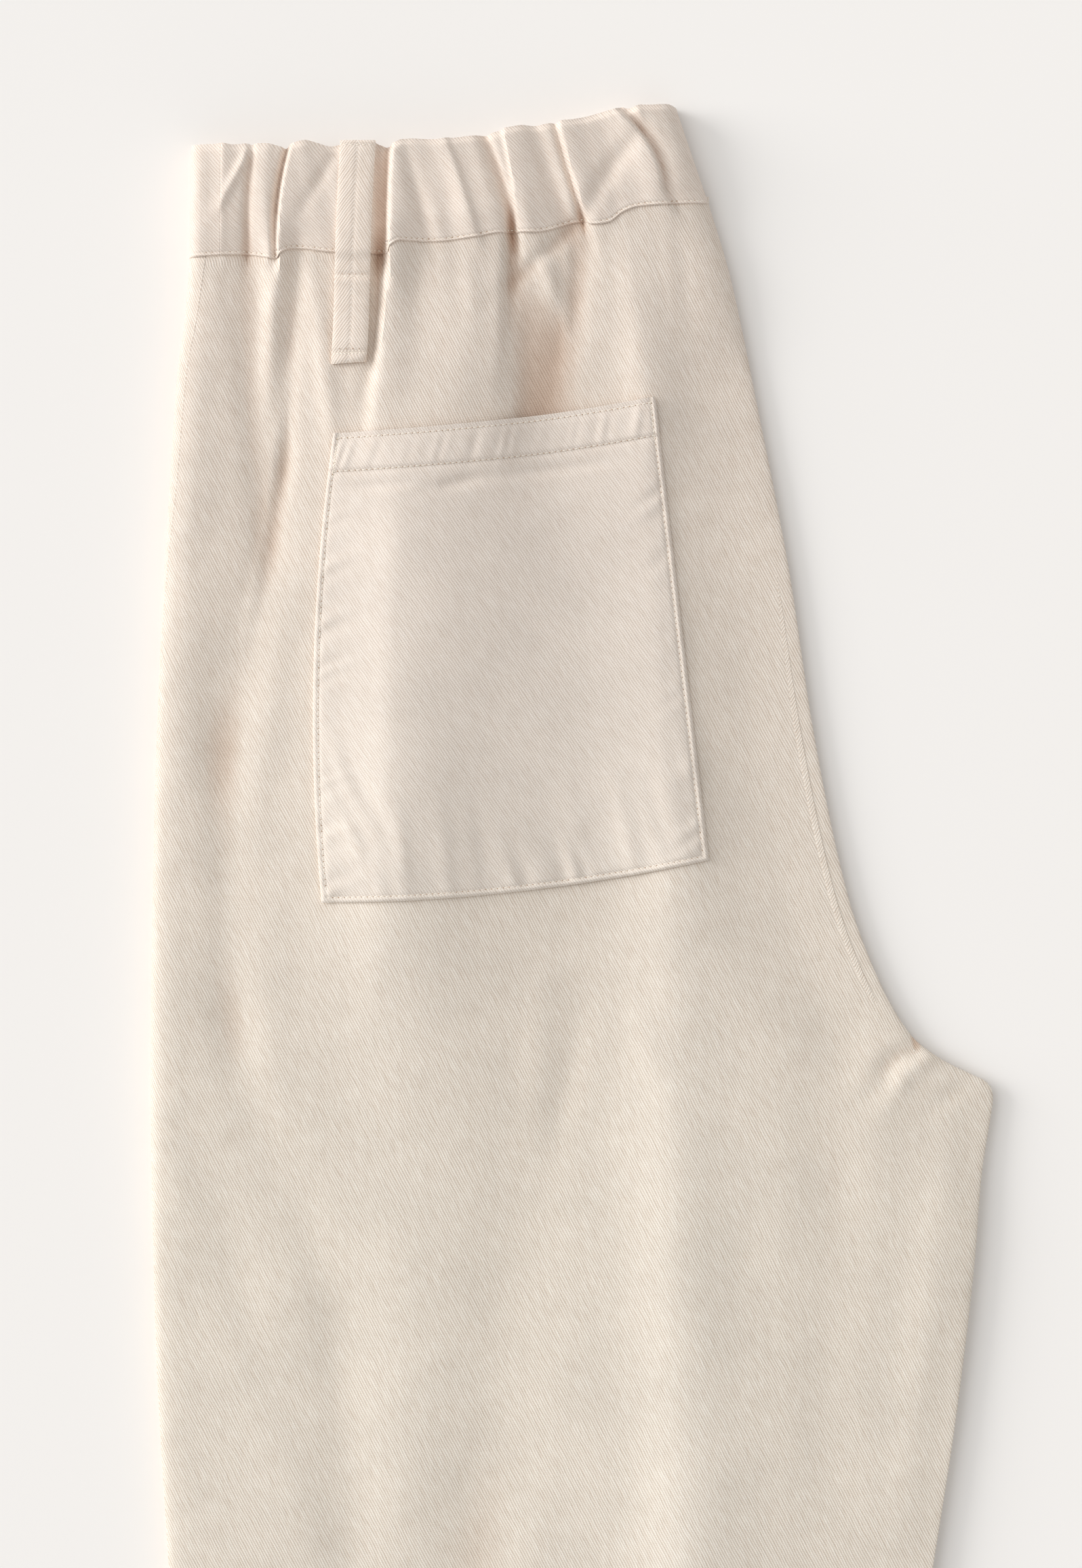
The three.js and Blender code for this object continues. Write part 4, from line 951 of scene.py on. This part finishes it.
waist_line = band_face(band_rows([BAND_STITCH]), 0.3)[0][:-3]
sew_stitches("waist_seam_stitches", [stitch_row(waist_line)])
needle_holes("waist_seam_holes", [waist_line])
t = np.linspace(0, 1, 200)
side, low = STITCH_IN / POCKET_WIDTH, STITCH_IN / POCKET_DEPTH
pocket_lines = [
    on_pocket(0 * t + side, t * (1 - low)),
    on_pocket(mix(side, 1 - side, t), 0 * t + 1 - low),
    on_pocket(0 * t + 1 - side, t * (1 - low)),
    on_pocket(mix(0.01, 0.99, t), 0 * t + POCKET_HEM / POCKET_DEPTH),
    on_pocket(mix(0.01, 0.99, t), 0 * t + low),
]
bar_tacks = [zigzag(on_pocket(0 * t + across, mix(0.002, 0.095, t)), 0.75, 1.1) for across in (0.018, 0.982)]
pocket_rows = [stitch_row(line) for line in pocket_lines] + [stitch_row(line, 1.1, 0.1) for line in bar_tacks]
sew_stitches("pocket_stitches", pocket_rows)
needle_holes("pocket_holes", pocket_lines)


def on_loop(y, start, end):
    """A line across the loop at height y, between shares of its width."""
    row = loop_points[np.argmin(np.abs(loop_points[:, 12, 1] - y))]
    share = np.linspace(start, end, 30) * (len(row) - 1)
    return np.stack([np.interp(share, np.arange(len(row)), row[:, i]) for i in range(3)], -1)


sew_stitches("belt_loop_stitches", [
    stitch_row(on_loop(LOOP_TOP, 0.1, 0.9), thick=0.3),
    stitch_row(on_loop(LOOP_CROSS, 0.06, 0.94), thick=0.3),
    stitch_row(on_loop(LOOP_BAR, 0.06, 0.94), 1.3, 0.05, thick=0.36),
    stitch_row(on_loop(LOOP_BAR + 0.9, 0.1, 0.9), 1.1, 0.1, thick=0.3),
])
loop_lines = [on_loop(y, 0.08, 0.92) for y in (LOOP_CROSS + 0.5, LOOP_BAR + 1.6)]
needle_holes("belt_loop_holes", loop_lines)
hem_line = back_face(leg_rows([HEM_Y + HEM_TURN]))[0][:-3]
sew_stitches("hem_stitches", [stitch_row(hem_line)])

# FLOOR, LIGHT AND CAMERA
# A plain pale surface, a high and a low broad light from the upper left, and pale light from all round, seen
# from straight above.
PHOTO_HEIGHT, CLOTH_LEVEL = 0.6014, 0.008  # metres that the photo takes in from top to bottom, at the cloth
LENS, SENSOR = 100, 24
DAYLIGHT = (1.0, 0.99, 0.975)
bpy.ops.object.select_all(action="DESELECT")
bpy.ops.mesh.primitive_plane_add(size=8, location=(0, 0.2, -0.0002))
floor = bpy.context.object
floor.name = "floor"
bpy.ops.object.transform_apply(location=True, rotation=False, scale=False)
paper = bpy.data.materials.new("pale_floor")
paper.use_nodes = True
set_values(paper.node_tree.nodes["Principled BSDF"], Base_Color=colour(249, 247, 245), Roughness=0.95,
           Specular_IOR_Level=0.1)
floor.data.materials.append(paper)

world = bpy.data.worlds.new("studio")
bpy.context.scene.world = world
world.use_nodes = True
set_values(world.node_tree.nodes["Background"], Color=(*DAYLIGHT, 1), Strength=0.546)
for name, power, spread_angle, way in (("high_window", 0.95, 60, (0.72, -0.30, -0.80)),
                                       ("low_window", 1.95, 36, (0.93, -0.22, -0.30))):
    light = bpy.data.lights.new(name, "SUN")
    light.energy, light.angle, light.color = power, math.radians(spread_angle), DAYLIGHT
    window = bpy.data.objects.new(name, light)
    bpy.context.scene.collection.objects.link(window)
    window.rotation_euler = Vector(way).to_track_quat("-Z", "Y").to_euler()

bpy.context.scene.view_settings.view_transform = "Standard"
camera = bpy.data.cameras.new("camera")
camera.sensor_fit, camera.sensor_height, camera.lens = "VERTICAL", SENSOR, LENS
camera.clip_end = 20
camera_object = bpy.data.objects.new("camera", camera)
bpy.context.scene.collection.objects.link(camera_object)
camera_object.location = (-0.0121, 0.2446, PHOTO_HEIGHT * LENS / SENSOR + CLOTH_LEVEL)
bpy.context.scene.camera = camera_object
